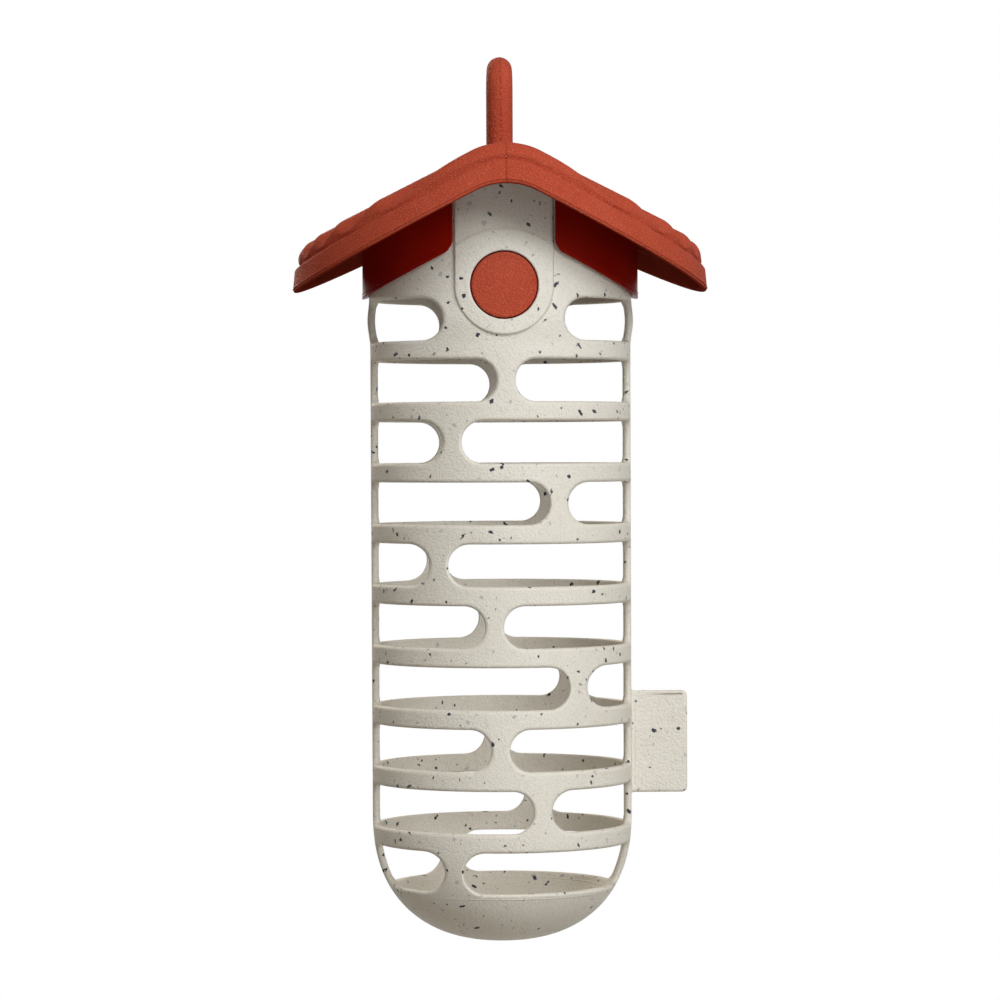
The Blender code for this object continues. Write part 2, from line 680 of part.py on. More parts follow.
def cage():
    """Tube, bowl, bosses and tag, one moulding, cut through from front to rear."""
    body = turned("cage", tube_profile(), TUBE_SEGMENTS)
    combine(body, joined("proud", [rounded_boss(-1), rounded_boss(1), tag()]), "UNION")
    combine(body, bore(), "DIFFERENCE")
    combine(body, channel(), "DIFFERENCE")
    top = above_line("cage_top", cage_top_line, BOSS_FACE + CUT_OVERRUN, CUT_OVERRUN)
    cuts = slot_cutters() + [button_hole(), drain(), top, tag_field(-1), tag_field(1)]
    combine(body, joined("cuts", cuts), "DIFFERENCE")
    return body


def spring_arm(name, side):
    """A flat arm with a round pad behind the button hole."""
    outline = keyhole(ARM_HALF_WIDTH, ARM_TOP_Z, -BUTTON_DROP, ARM_PAD_RADIUS, 2 * SLOT_END_STEPS)
    arm = prism_along_y(name, outline, side * ARM_OUTER, side * ARM_INNER)
    hole = arc((0, -BUTTON_DROP), BUTTON_STUD_RADIUS + FIT_GAP, 0, 360, ROD_SEGMENTS)[:-1]
    reach = side * (ARM_OUTER + CUT_OVERRUN)
    combine(arm, prism_along_y("stud_hole", hole, reach, 0), "DIFFERENCE")
    return arm


def button(name, side):
    """A crowned round button, held on its arm by a headed stud."""
    face = BOSS_FACE + BUTTON_PROUD
    back = ARM_OUTER + FIT_GAP
    stud_end = ARM_INNER - FIT_GAP
    head_end = stud_end - BUTTON_STUD_HEAD_HEIGHT
    rim = BUTTON_RADIUS - BUTTON_EDGE_ROUND
    middle = (face + back) / 2
    profile = [
        (0, head_end),
        (BUTTON_STUD_HEAD_RADIUS, head_end),
        (BUTTON_STUD_HEAD_RADIUS, stud_end),
        (BUTTON_STUD_RADIUS, stud_end),
        (BUTTON_STUD_RADIUS, back),
        (BUTTON_RADIUS, back),
        (BUTTON_RADIUS, face - BUTTON_EDGE_ROUND),
        (rim, face),
        (rim / 2, face),
        (0, face),
    ]
    made = turned(name, profile, BUTTON_SEGMENTS)
    for vertex in made.data.vertices:
        x, z, out = vertex.co
        if out > middle:
            out -= BOSS_CROWN_RADIUS - math.sqrt(BOSS_CROWN_RADIUS ** 2 - x ** 2)
        vertex.co = (side * -x, side * out, z - BUTTON_DROP)
    return made


def axis_empty(name, place):
    """An empty on a joint's axis, which the pieces that turn or slide there hang from."""
    empty = bpy.data.objects.new(name, None)
    empty.location = place
    bpy.context.collection.objects.link(empty)
    bpy.context.view_layer.update()
    return empty


def hang(piece, empty):
    piece.parent = empty
    piece.matrix_parent_inverse = empty.matrix_world.inverted()


def build():
    clear_scene()
    red = material("brick_red_plastic", BRICK_RED, 0.45)
    beige = material("speckled_recycled_plastic", SPECKLED_BEIGE, 0.55)
    finish(roof(), red)
    finish(hanging_loop(), red)
    slide = axis_empty("cage_slide", (0, 0, CREST_Z))
    hang(finish(cage(), beige), slide)
    for label, side in (("front", -1), ("rear", 1)):
        pivot_y = side * (ARM_OUTER + ARM_INNER) / 2
        pivot = axis_empty(label + "_pivot", (0, pivot_y, -ARM_PIVOT_DROP))
        hang(finish(spring_arm(label + "_spring_arm", side), red), pivot)
        hang(finish(button(label + "_button", side), red), pivot)


build()
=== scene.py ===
"""Looks of the hanging suet feeder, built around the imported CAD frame.

Sizes are in millimetres and become metres when a mesh is made. Only the floor, the lamps and the
camera are placed in metres. The front button faces -Y, and the origin is the inner top of the loop.
"""
import math

import bpy
import numpy as np
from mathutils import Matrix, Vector


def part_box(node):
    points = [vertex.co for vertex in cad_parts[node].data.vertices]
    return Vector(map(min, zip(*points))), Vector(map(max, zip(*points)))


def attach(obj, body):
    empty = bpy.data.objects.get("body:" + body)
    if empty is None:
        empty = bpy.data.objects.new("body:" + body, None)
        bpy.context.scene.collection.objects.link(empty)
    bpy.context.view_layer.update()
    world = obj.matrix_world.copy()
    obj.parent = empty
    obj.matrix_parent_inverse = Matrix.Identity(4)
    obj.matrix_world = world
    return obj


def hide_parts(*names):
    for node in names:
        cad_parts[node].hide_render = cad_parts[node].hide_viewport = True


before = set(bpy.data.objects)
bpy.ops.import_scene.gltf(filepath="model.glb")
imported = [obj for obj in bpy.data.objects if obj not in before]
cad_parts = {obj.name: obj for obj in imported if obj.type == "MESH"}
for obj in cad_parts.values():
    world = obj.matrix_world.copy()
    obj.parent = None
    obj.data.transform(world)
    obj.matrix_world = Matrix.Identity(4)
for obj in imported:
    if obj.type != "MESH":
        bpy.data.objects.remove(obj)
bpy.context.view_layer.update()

MM = 0.001


def node_box(name):
    """Lowest and highest corner of a CAD node, in millimetres."""
    low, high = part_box(name)
    return low / MM, high / MM


_, ROOF_HIGH = node_box("roof")
CAGE_LOW, CAGE_HIGH = node_box("cage")
LOOP_LOW, LOOP_HIGH = node_box("hanging_loop")
ARM_LOW, ARM_HIGH = node_box("front_spring_arm")
_, BUTTON_HIGH = node_box("front_button")

# Loop: a round rod bent to an arch over the ridge
LOOP_ROD_RADIUS = LOOP_HIGH.x
LOOP_HALF_SPAN = LOOP_HIGH.y - LOOP_ROD_RADIUS
LOOP_FOOT_Z = LOOP_LOW.z
LOOP_PARTING_HEIGHT = 0.08

# Roof shell
ROOF_PITCH_ANGLE = math.radians(26.8)
CREST_BEND_RADIUS = 23.4
LEDGE_BEND_RADIUS = 22.0
EAVE_BEND_RADIUS = 21.0
CREST_Z = ROOF_HIGH.z
LEDGE_DROP = 5.7
FASCIA_HEIGHT = 7.1
EAVE_DROP = LEDGE_DROP + FASCIA_HEIGHT
FASCIA_RADIUS = ROOF_HIGH.x
FASCIA_DRAFT = 0.5
FASCIA_WALL = 2.2
FASCIA_EDGE_ROUND = 0.7
RIDGE_PITCH = 12.15
RIDGE_DEPTH = 3.2
LEDGE_WIDTH = 1.7
RIDGED_RADIUS = FASCIA_RADIUS - LEDGE_WIDTH
RIDGED_EDGE_ROUND = 2.8
RIDGED_SIDE_LEAN = 15.0
RIDGED_FOOT_FILLET = 0.5
ROOF_WALL = 2.0
RIM_WIDTH = 2.0
RIM_ROOT = 1.0
RIM_FILLET = 0.4
RIM_CHAMFER = 0.1
LIP_ROUND = 1.0
LIP_LINE_HEIGHT = 0.22
LIP_LINE_WIDTH = 0.6
LIP_RECESS = 0.1
RING_STEP = 1.1

# Collar under the roof
COLLAR_WALL = 1.75
COLLAR_RADIUS = 44.0
COLLAR_INNER = COLLAR_RADIUS - COLLAR_WALL
COLLAR_BELOW_EAVE = 13.0
BEAD_HEIGHT = 1.0
BEAD_PROUD = 0.1
BEAD_STEP = 0.25
BEAD_LINE_HEIGHT = 1.5
BEAD_LINE_WIDTH = 0.5
BEAD_LINE_PROUD = 0.2
COLLAR_EDGE_ROUND = 0.3
NOTCH_HALF_WIDTH = 15.9
NOTCH_CORNER_RADIUS = 2.6
SOCKET_HALF_WIDTH = 6.3
SOCKET_BELOW_LOOP = 2.3
SOCKET_FLOOR_Z = LOOP_FOOT_Z - SOCKET_BELOW_LOOP
ARM_HALF_WIDTH = 6.5
ARM_PAD_RADIUS = 11.2
ARM_PAD_FILLET = 2.0
ARM_INNER = -ARM_HIGH.y
ARM_THICKNESS = 1.1
ARM_FACE = ARM_INNER + ARM_THICKNESS
ARM_ROOM = 0.8
ARM_ROOT_GAP = 0.3
ARM_ROOT_BACKING = 0.8
STUD_RADIUS = 3.0
STUD_HEAD_RADIUS = 4.2
STUD_HEAD_HEIGHT = 1.0
STUD_GAP = 0.1
STUD_SEAT_GAP = 0.3

# Cage tube and bowl
TUBE_RADIUS = 41.6
TUBE_FOOT_DRAFT = 0.15
TUBE_WALL = 2.6
NECK_RADIUS = 41.9
NECK_SWELL = 0.7
NECK_SWELL_HALF_HEIGHT = 8.0
BOWL_DEPTH = 41.0
BOWL_TOP_Z = CAGE_LOW.z + BOWL_DEPTH
BOWL_EXPONENT = 2.36
CAGE_TOP_GAP = 0.6
CAGE_EDGE_ROUND = 0.5
DRAIN_HOLE_RADIUS = 2.75
MOULD_LINE_Z = -257.7

# Slots
ROW_COUNT = 10
FIRST_ROW_Z = -76.6
ROW_PITCH = 19.2
SLOT_HEIGHT = 13.2
SLOT_EDGE_ROUND = 1.1
RAIL_THICKNESS = 2.45
SLOT_REACH = TUBE_RADIUS - RAIL_THICKNESS
SLOT_RAIL_CORNER = 2.4
WEB_WIDTH = 5.8
BOSS_WEB_WIDTH = 37.9
RAIL_DEPTH = 6.4
RAIL_NOSE_RADIUS = 1.2
WEB_CENTRE_SHARES = (0.0, 0.013, -0.415, 0.434, -0.524, -0.086, 0.587, -0.041, 0.295, -0.411)

# Boss around the button, and the crease above the button
BUTTON_Z = -66.4
BUTTON_TRIM = 0.3
BUTTON_RADIUS = BUTTON_HIGH.x - BUTTON_TRIM
BUTTON_GAP = 0.4
BUTTON_HOLE_RADIUS = BUTTON_RADIUS + BUTTON_GAP
BUTTON_EDGE_ROUND = 0.5
BUTTON_UNDER_EDGE = 0.3
BUTTON_CHAMFER = 0.2
BUTTON_SUNK = 0.1
BUTTON_RING_HEIGHT = 0.06
BUTTON_RING_SHARES = (0.93, 0.915)
BUTTON_FACE_SHARES = (0.9, 0.8, 0.6, 0.4, 0.2, 0)
BOSS_FACE = 43.0
BOSS_HALF_WIDTH = 15.4
BOSS_CROWN_RADIUS = 45.0
BOSS_CROWN_REACH = 30.0
BOSS_EDGE_ROUND = 0.6
BOSS_FILLET = 0.2
BOSS_LEAST_WALL = 1.2
CHANNEL_FACE = 40.5
CHANNEL_EDGE_ROUND = 0.3
CREASE_RADIUS = 24.0
CREASE_ABOVE_BUTTON = 17.0
CREASE_STEP = 0.18
CREASE_WIDTH = 0.9
CREASE_SLOPE = 0.012
CREASE_LINE_HEIGHT = 0.12
CREASE_LINE_WIDTH = 1.4

# Tag plate
TAG_TRIM = 0.3
TAG_REACH = CAGE_HIGH.x - TAG_TRIM
TAG_TOP_Z = -194.7
TAG_HEIGHT = 32.6
TAG_THICKNESS = 2.5
TAG_CORNER_RADIUS = 1.6
TAG_EDGE_ROUND = 0.9
TAG_BORDER = 1.1
TAG_FIELD_DEPTH = 0.12
TAG_ROOT_FILLET = 0.8

# Mesh fineness
CAGE_CELL = 0.5
INSIDE_CELL = 0.6
ROOF_SPOKES = 481
LIP_LINE_STEPS = 6
MERGE_DISTANCE = 0.004
GRID_MARGIN = 1.0
ARM_GRID_MARGIN = 0.7
COLLAR_GRID_HEIGHT = 32.0
MOST_TRIANGLES = 185000
LEAST_SLOPE_SQUARED = 0.05
SLAB = 24

# Studio, in metres
FLOOR_SIZE = 4.0
FLOOR_Z = -1.15
FLOOR_GLOW_SHARE = 0.6
LAMP_TARGET = (0, 0, -0.14)
DAYLIGHT = "F6F9FF"
WARM_LIGHT = "FFEBD2"
CAMERA_DISTANCE = 1.2608
CAMERA_Z = -0.1178
CAMERA_YAW = math.radians(1.8)
CAMERA_ROLL = math.radians(-0.24)
CAMERA_TARGET = (-0.0003, 0, -0.1335)
CAMERA_LENS = 141.8
SENSOR_WIDTH = 36.0

# Kinds of node, and the colour sockets of a Mix node
MATH = "ShaderNodeMath"
VECTOR = "ShaderNodeVectorMath"
FACTOR, COLOUR_A, COLOUR_B, MIXED = 0, 6, 7, 2

# Both plastics are polypropylene
POLYPROPYLENE_IOR = 1.49


def round_and(a, b, radius):
    """Inside both shapes, with the edge where they meet rounded off."""
    corner = np.hypot(np.maximum(a + radius, 0), np.maximum(b + radius, 0))
    return corner + np.minimum(np.maximum(a, b), -radius)


def round_or(a, b, radius):
    """Inside either shape, with the corner where they meet filled by a fillet."""
    corner = np.hypot(np.maximum(radius - a, 0), np.maximum(radius - b, 0))
    return np.maximum(np.minimum(a, b), radius) - corner


def smooth_step(share):
    """From 0 to 1 without a corner."""
    share = np.clip(share, 0, 1)
    return share * share * (3 - 2 * share)


def collar_foot(x):
    """Height of the collar's lower edge."""
    return CREST_Z - EAVE_DROP - COLLAR_BELOW_EAVE - gable_drop(x, EAVE_BEND_RADIUS)


def gable_drop(x, bend_radius):
    """How far a gable line lies below its apex: a round bend, then a straight slope."""
    across = np.abs(x)
    bend = np.minimum(across, bend_radius * math.sin(ROOF_PITCH_ANGLE))
    round_drop = bend_radius - np.sqrt(bend_radius ** 2 - bend ** 2)
    return round_drop + (across - bend) * math.tan(ROOF_PITCH_ANGLE)


def outer_radius(z):
    """The tube's radius: straight, with a swell at the first row and a slight draft below."""
    along = np.clip((z - FIRST_ROW_Z) / NECK_SWELL_HALF_HEIGHT, -1, 1)
    straight = TUBE_RADIUS + (NECK_RADIUS - TUBE_RADIUS) * (along + 1) / 2
    swell = NECK_SWELL * (1 + np.cos(math.pi * along)) / 2
    down = np.clip((FIRST_ROW_Z - z) / (FIRST_ROW_Z - BOWL_TOP_Z), 0, 1)
    return straight + swell - TUBE_FOOT_DRAFT * down


def outline_radius(z):
    """The outline of tube and bowl."""
    below = np.clip((BOWL_TOP_Z - z) / BOWL_DEPTH, 0, 1)
    return outer_radius(z) * (1 - below ** BOWL_EXPONENT) ** (1 / BOWL_EXPONENT)


def closed_tube(rho, z, radius, depth):
    """A tube that ends in a superellipse bowl."""
    below = np.maximum(BOWL_TOP_Z - z, 0) / depth
    out = rho / radius
    reach = (out ** BOWL_EXPONENT + below ** BOWL_EXPONENT + 1e-12) ** (1 / BOWL_EXPONENT)
    power = BOWL_EXPONENT - 1
    steep = np.hypot((out / reach) ** power / radius, (below / reach) ** power / depth)
    bowl = (reach - 1) / np.maximum(steep, 1 / (3 * radius))
    return np.where(z > BOWL_TOP_Z, rho - radius, bowl)


def slots(x, y, z):
    """Ten rows of slots, cut straight through along Y, that stop at a bead along each side."""
    half = SLOT_HEIGHT / 2
    row = np.clip(np.rint((FIRST_ROW_Z - z) / ROW_PITCH), 0, ROW_COUNT - 1).astype(int)
    centre = np.array(WEB_CENTRE_SHARES)[row] * SLOT_REACH
    half_web = np.where(row == 0, BOSS_WEB_WIDTH, WEB_WIDTH) / 2
    up = z - (FIRST_ROW_Z - ROW_PITCH * row)
    along = np.abs(x - centre)
    far = np.hypot(np.maximum(half_web + half - along, 0), up) - half
    rail = SLOT_REACH + outline_radius(z) - TUBE_RADIUS
    side = round_or(np.abs(x) - rail, RAIL_DEPTH / 2 - np.abs(y), RAIL_NOSE_RADIUS)
    return round_and(far, side, SLOT_RAIL_CORNER)


def boss_front(x):
    """Where the crowned face of the boss lies."""
    across = np.minimum(np.abs(x), BOSS_CROWN_REACH)
    return BOSS_FACE - BOSS_CROWN_RADIUS + np.sqrt(BOSS_CROWN_RADIUS ** 2 - across ** 2)


def boss(x, y, z):
    """The keyhole around the button. A fine raised arc crosses it, and above that it lies deeper."""
    keyhole = np.hypot(x, np.minimum(z - BUTTON_Z, 0)) - BOSS_HALF_WIDTH
    arc_z = BUTTON_Z + CREASE_ABOVE_BUTTON - CREASE_RADIUS
    past = np.where(z > BUTTON_Z, np.hypot(x, z - arc_z) - CREASE_RADIUS, -CREASE_LINE_WIDTH)
    step = CREASE_STEP * smooth_step(past / CREASE_WIDTH) + CREASE_SLOPE * np.maximum(past, 0)
    line = CREASE_LINE_HEIGHT * (1 - smooth_step(np.abs(past) / (CREASE_LINE_WIDTH / 2)))
    return round_and(keyhole, np.abs(y) - (boss_front(x) + line - step), BOSS_EDGE_ROUND)


def tag(x, y, z):
    """The plate on the right side rail, with a sunk field inside a border on both faces."""
    middle = TAG_TOP_Z - TAG_HEIGHT / 2
    edge = round_and(x - TAG_REACH, np.abs(z - middle) - TAG_HEIGHT / 2, TAG_CORNER_RADIUS)
    root = (SLOT_REACH + TUBE_RADIUS) / 2 - x
    plate = round_and(np.maximum(edge, root), np.abs(y) - TAG_THICKNESS / 2, TAG_EDGE_ROUND)
    field = round_and(edge + TAG_BORDER, TUBE_RADIUS + TAG_BORDER - x, TAG_BORDER)
    sunk = round_and(field, TAG_THICKNESS / 2 - TAG_FIELD_DEPTH - np.abs(y), TAG_FIELD_DEPTH / 2)
    return round_and(plate, -sunk, TAG_FIELD_DEPTH / 2)


def cage(x, y, z):
    """Signed distance to the cage, negative inside the plastic."""
    rho = np.hypot(x, y)
    body = closed_tube(rho, z, outer_radius(z), BOWL_DEPTH)
    body = round_or(body, boss(x, y, z), BOSS_FILLET)
    body = round_or(body, tag(x, y, z), TAG_ROOT_FILLET)
    body = round_and(body, -slots(x, y, z), SLOT_EDGE_ROUND)
    bore = closed_tube(rho, z, TUBE_RADIUS - TUBE_WALL, BOWL_DEPTH - TUBE_WALL)
    body = round_and(body, -bore, CAGE_EDGE_ROUND)
    pad_room = np.hypot(x, z - BUTTON_Z) - ARM_PAD_RADIUS - ARM_ROOM
    strip_room = np.maximum(np.abs(x) - ARM_HALF_WIDTH - ARM_ROOM, BUTTON_Z - z)
    channel_face = np.minimum(CHANNEL_FACE, boss_front(x) - BOSS_LEAST_WALL)
    channel = np.maximum(np.minimum(pad_room, strip_room), np.abs(y) - channel_face)
    body = round_and(body, -channel, CHANNEL_EDGE_ROUND)
    body = round_and(body, BUTTON_HOLE_RADIUS - np.hypot(x, z - BUTTON_Z), CAGE_EDGE_ROUND)
    top = CREST_Z - RIDGE_DEPTH - ROOF_WALL - CAGE_TOP_GAP - gable_drop(x, CREST_BEND_RADIUS)
    body = round_and(body, (z - top) * math.cos(ROOF_PITCH_ANGLE), CAGE_EDGE_ROUND)
    drain = np.maximum(rho - DRAIN_HOLE_RADIUS, z - BOWL_TOP_Z)
    return round_and(body, -drain, CAGE_EDGE_ROUND)


def below_skin(x, y, z):
    """Distance to the middle of the shell's wall, negative below it."""
    valley = RIDGE_DEPTH * np.sin(math.pi * y / RIDGE_PITCH) ** 2
    skin = CREST_Z - gable_drop(x, CREST_BEND_RADIUS) - valley - ROOF_WALL / 2
    return (z - skin) * math.cos(ROOF_PITCH_ANGLE)


def collar(x, y, z):
    """Signed distance to the collar, with a bead along its edge and a fine line above the bead."""
    rho = np.hypot(x, y)
    slope = math.cos(ROOF_PITCH_ANGLE)
    side = NOTCH_HALF_WIDTH - np.abs(x)
    edge = round_and((collar_foot(x) - z) * slope, side, NOTCH_CORNER_RADIUS)
    bead = 1 - smooth_step((-edge - BEAD_HEIGHT) / BEAD_STEP + 0.5)
    line = 1 - smooth_step(np.abs(-edge - BEAD_LINE_HEIGHT) / (BEAD_LINE_WIDTH / 2))
    line = line * smooth_step(-side / (2 * NOTCH_CORNER_RADIUS))
    proud = BEAD_PROUD * bead + BEAD_LINE_PROUD * line
    wall = np.maximum(rho - COLLAR_RADIUS - proud, COLLAR_INNER - rho)
    return np.maximum(round_and(wall, edge, COLLAR_EDGE_ROUND), below_skin(x, y, z))


def inside(x, y, z):
    """Signed distance to the loop's sockets and the roots of both spring arms."""
    socket = np.hypot(x, np.maximum(np.abs(y) - LOOP_HALF_SPAN, 0)) - SOCKET_HALF_WIDTH
    socket = round_and(socket, SOCKET_FLOOR_Z - z, COLLAR_EDGE_ROUND)
    inner, outer = ARM_INNER - ARM_ROOT_BACKING, -ARM_LOW.y
    across = np.abs(np.abs(y) - (inner + outer) / 2) - (outer - inner) / 2
    root = round_and(np.abs(x) - ARM_HALF_WIDTH, across, COLLAR_EDGE_ROUND)
    root = round_and(root, ARM_HIGH.z + ARM_ROOT_GAP - z, COLLAR_EDGE_ROUND)
    return np.maximum(np.minimum(socket, root), below_skin(x, y, z))


def spring_arm(x, y, z):
    """Signed distance to both spring arms: flat strips that end in a round pad behind the button."""
    strip = np.maximum(np.abs(x) - ARM_HALF_WIDTH, np.maximum(z - ARM_HIGH.z, BUTTON_Z - z))
    from_button = np.hypot(x, z - BUTTON_Z)
    outline = round_or(strip, from_button - ARM_PAD_RADIUS, ARM_PAD_FILLET)
    outline = np.maximum(outline, STUD_RADIUS + STUD_GAP - from_button)
    across = np.abs(np.abs(y) - (ARM_INNER + ARM_FACE) / 2) - (ARM_FACE - ARM_INNER) / 2
    return round_and(outline, across, COLLAR_EDGE_ROUND)


def unrolled(rho, along, up):
    """The place of a point from its radius, its way round the collar and its height above the foot."""
    turn = along / COLLAR_RADIUS
    x = rho * np.sin(turn)
    return x, -rho * np.cos(turn), collar_foot(x) + up


def stations(low, high, coarse, fine=None, near=()):
    """Grid stations from low to high, closer to each other near the given places."""
    found = [low]
    while found[-1] < high:
        step = coarse
        if near:
            gap = min(abs(found[-1] - place) for place in near)
            step = min(coarse, max(fine, gap / 4))
        found.append(found[-1] + step)
    return np.array(found)


def gradient(field, points, step=0.03):
    """Slope of a field at scattered points."""
    parts = []
    for axis in range(3):
        shift = np.zeros(3)
        shift[axis] = step
        parts.append((field(*(points + shift).T) - field(*(points - shift).T)) / (2 * step))
    return np.stack(parts, axis=1)


def settle(field, points, rounds, limit):
    """Move points on to the surface where the field is zero."""
    for _ in range(rounds):
        slope = gradient(field, points)
        steep = np.maximum((slope ** 2).sum(axis=1), LEAST_SLOPE_SQUARED)
        move = slope * (field(*points.T) / steep)[:, None]
        length = np.linalg.norm(move, axis=1)
        move *= np.minimum(1, limit / np.maximum(length, 1e-9))[:, None]
        points = points - move
    return points


def sampled(field, axes, place):
    """The field's values on a grid, worked out a slab at a time."""
    x, y = axes[0][:, None, None], axes[1][None, :, None]
    value = np.empty([len(a) for a in axes], np.float32)
    for start in range(0, len(axes[2]), SLAB):
        z = axes[2][None, None, start:start + SLAB]
        value[:, :, start:start + SLAB] = field(*place(x, y, z))
    return value


def net_points(value, cells):
    """One point for each cell that the surface crosses: the mean of its crossed edges."""
    total = np.zeros((len(cells), 3))
    number = np.zeros(len(cells))
    for axis in range(3):
        u, v = [a for a in range(3) if a != axis]
        for du, dv in ((0, 0), (0, 1), (1, 0), (1, 1)):
            start = cells.copy()
            start[:, u] += du
            start[:, v] += dv
            end = start.copy()
            end[:, axis] += 1
            one, two = value[tuple(start.T)], value[tuple(end.T)]
            crossed = (one < 0) != (two < 0)
            place = start[crossed].astype(float)
            place[:, axis] += one[crossed] / (one[crossed] - two[crossed])
            total[crossed] += place
            number[crossed] += 1
    return total / number[:, None]


def net_quads(inner, index):
    """A face across each grid edge that the surface crosses, turned outwards."""
    quads = []
    for axis in range(3):
        u, v = [a for a in range(3) if a != axis]
        one = np.take(inner, range(inner.shape[axis] - 1), axis)
        two = np.take(inner, range(1, inner.shape[axis]), axis)
        edges = np.argwhere(one != two)
        outward = one[tuple(edges.T)]
        ring = []
        for du, dv in ((0, 0), (-1, 0), (-1, -1), (0, -1)):
            corner = edges.copy()
            corner[:, u] += du
            corner[:, v] += dv
            ring.append(index[tuple(corner.T)])
        quad = np.stack(ring, axis=1)
        turned = outward if axis != 1 else ~outward
        quad[~turned] = quad[~turned][:, ::-1]
        quads.append(quad)
    return np.concatenate(quads)


def surface_net(field, axes, place):
    """Points and quads of the surface where the field is zero."""
    value = sampled(field, axes, place)
    inner = value < 0
    count = np.zeros([n - 1 for n in inner.shape], np.uint8)
    nx, ny, nz = inner.shape
    for dx, dy, dz in np.ndindex(2, 2, 2):
        count += inner[dx:nx - 1 + dx, dy:ny - 1 + dy, dz:nz - 1 + dz]
    active = (count > 0) & (count < 8)
    cells = np.argwhere(active)
    index = np.full(active.shape, -1, np.int32)
    index[active] = np.arange(len(cells))
    found = net_points(value, cells)
    spread = [np.interp(found[:, i], np.arange(len(a)), a) for i, a in enumerate(axes)]
    return np.stack(place(*spread), axis=1), net_quads(inner, index)


def object_with(name, mesh, material):
    """An object at the origin with a mesh and one material."""
    mesh.materials.append(material)
    made = bpy.data.objects.new(name, mesh)
    bpy.context.scene.collection.objects.link(made)
    return made


def evaluated_mesh(thing):
    """A plain mesh of an object with its modifiers, which are then removed."""
    graph = bpy.context.evaluated_depsgraph_get()
    mesh = bpy.data.meshes.new_from_object(thing.evaluated_get(graph))
    thing.modifiers.clear()
    thing.data = mesh
    return mesh


def as_it_is(x, y, z):
    """Grid stations that are already places."""
    return x, y, z


def moulding(name, field, axes, material, place=as_it_is):
    """A piece from a distance field: netted, thinned where it is flat, with the field's normals."""
    points, quads = surface_net(field, axes, place)
    points = settle(field, points, rounds=3, limit=0.3)
    mesh = bpy.data.meshes.new(name)
    mesh.from_pydata((points * MM).tolist(), [], quads.tolist())
    made = object_with(name, mesh, material)
    if 2 * len(quads) > MOST_TRIANGLES:
        thinner = made.modifiers.new("thinner", "DECIMATE")
        thinner.ratio = MOST_TRIANGLES / (2 * len(quads))
        mesh = evaluated_mesh(made)
    mesh.validate()
    spots = np.empty(len(mesh.vertices) * 3)
    mesh.vertices.foreach_get("co", spots)
    spots = settle(field, spots.reshape(-1, 3) / MM, rounds=2, limit=0.1)
    mesh.vertices.foreach_set("co", (spots * MM).ravel())
    normal = gradient(field, spots, step=0.06)
    normal /= np.maximum(np.linalg.norm(normal, axis=1), 1e-6)[:, None]
    mesh.shade_smooth()
    mesh.normals_split_custom_set_from_vertices(normal.tolist())
    mesh.update()
    return made


def add(tree, kind, inputs=(), **settings):
    """Add a node with its settings, and fill its inputs with values or with what other nodes give."""
    made = tree.nodes.new(kind)
    for key, value in settings.items():
        setattr(made, key, value)
    for key, value in inputs.items() if isinstance(inputs, dict) else enumerate(inputs):
        if isinstance(value, bpy.types.Node):
            value = next(socket for socket in value.outputs if socket.enabled)
        if isinstance(value, bpy.types.NodeSocket):
            tree.links.new(value, made.inputs[key])
        else:
            made.inputs[key].default_value = value
    return made


def arc(centre, radius, start, end, steps):
    """Points along an arc, angles in degrees, both ends included."""
    turns = np.radians(np.linspace(start, end, steps + 1))
    return [(centre[0] + radius * math.cos(a), centre[1] + radius * math.sin(a)) for a in turns]


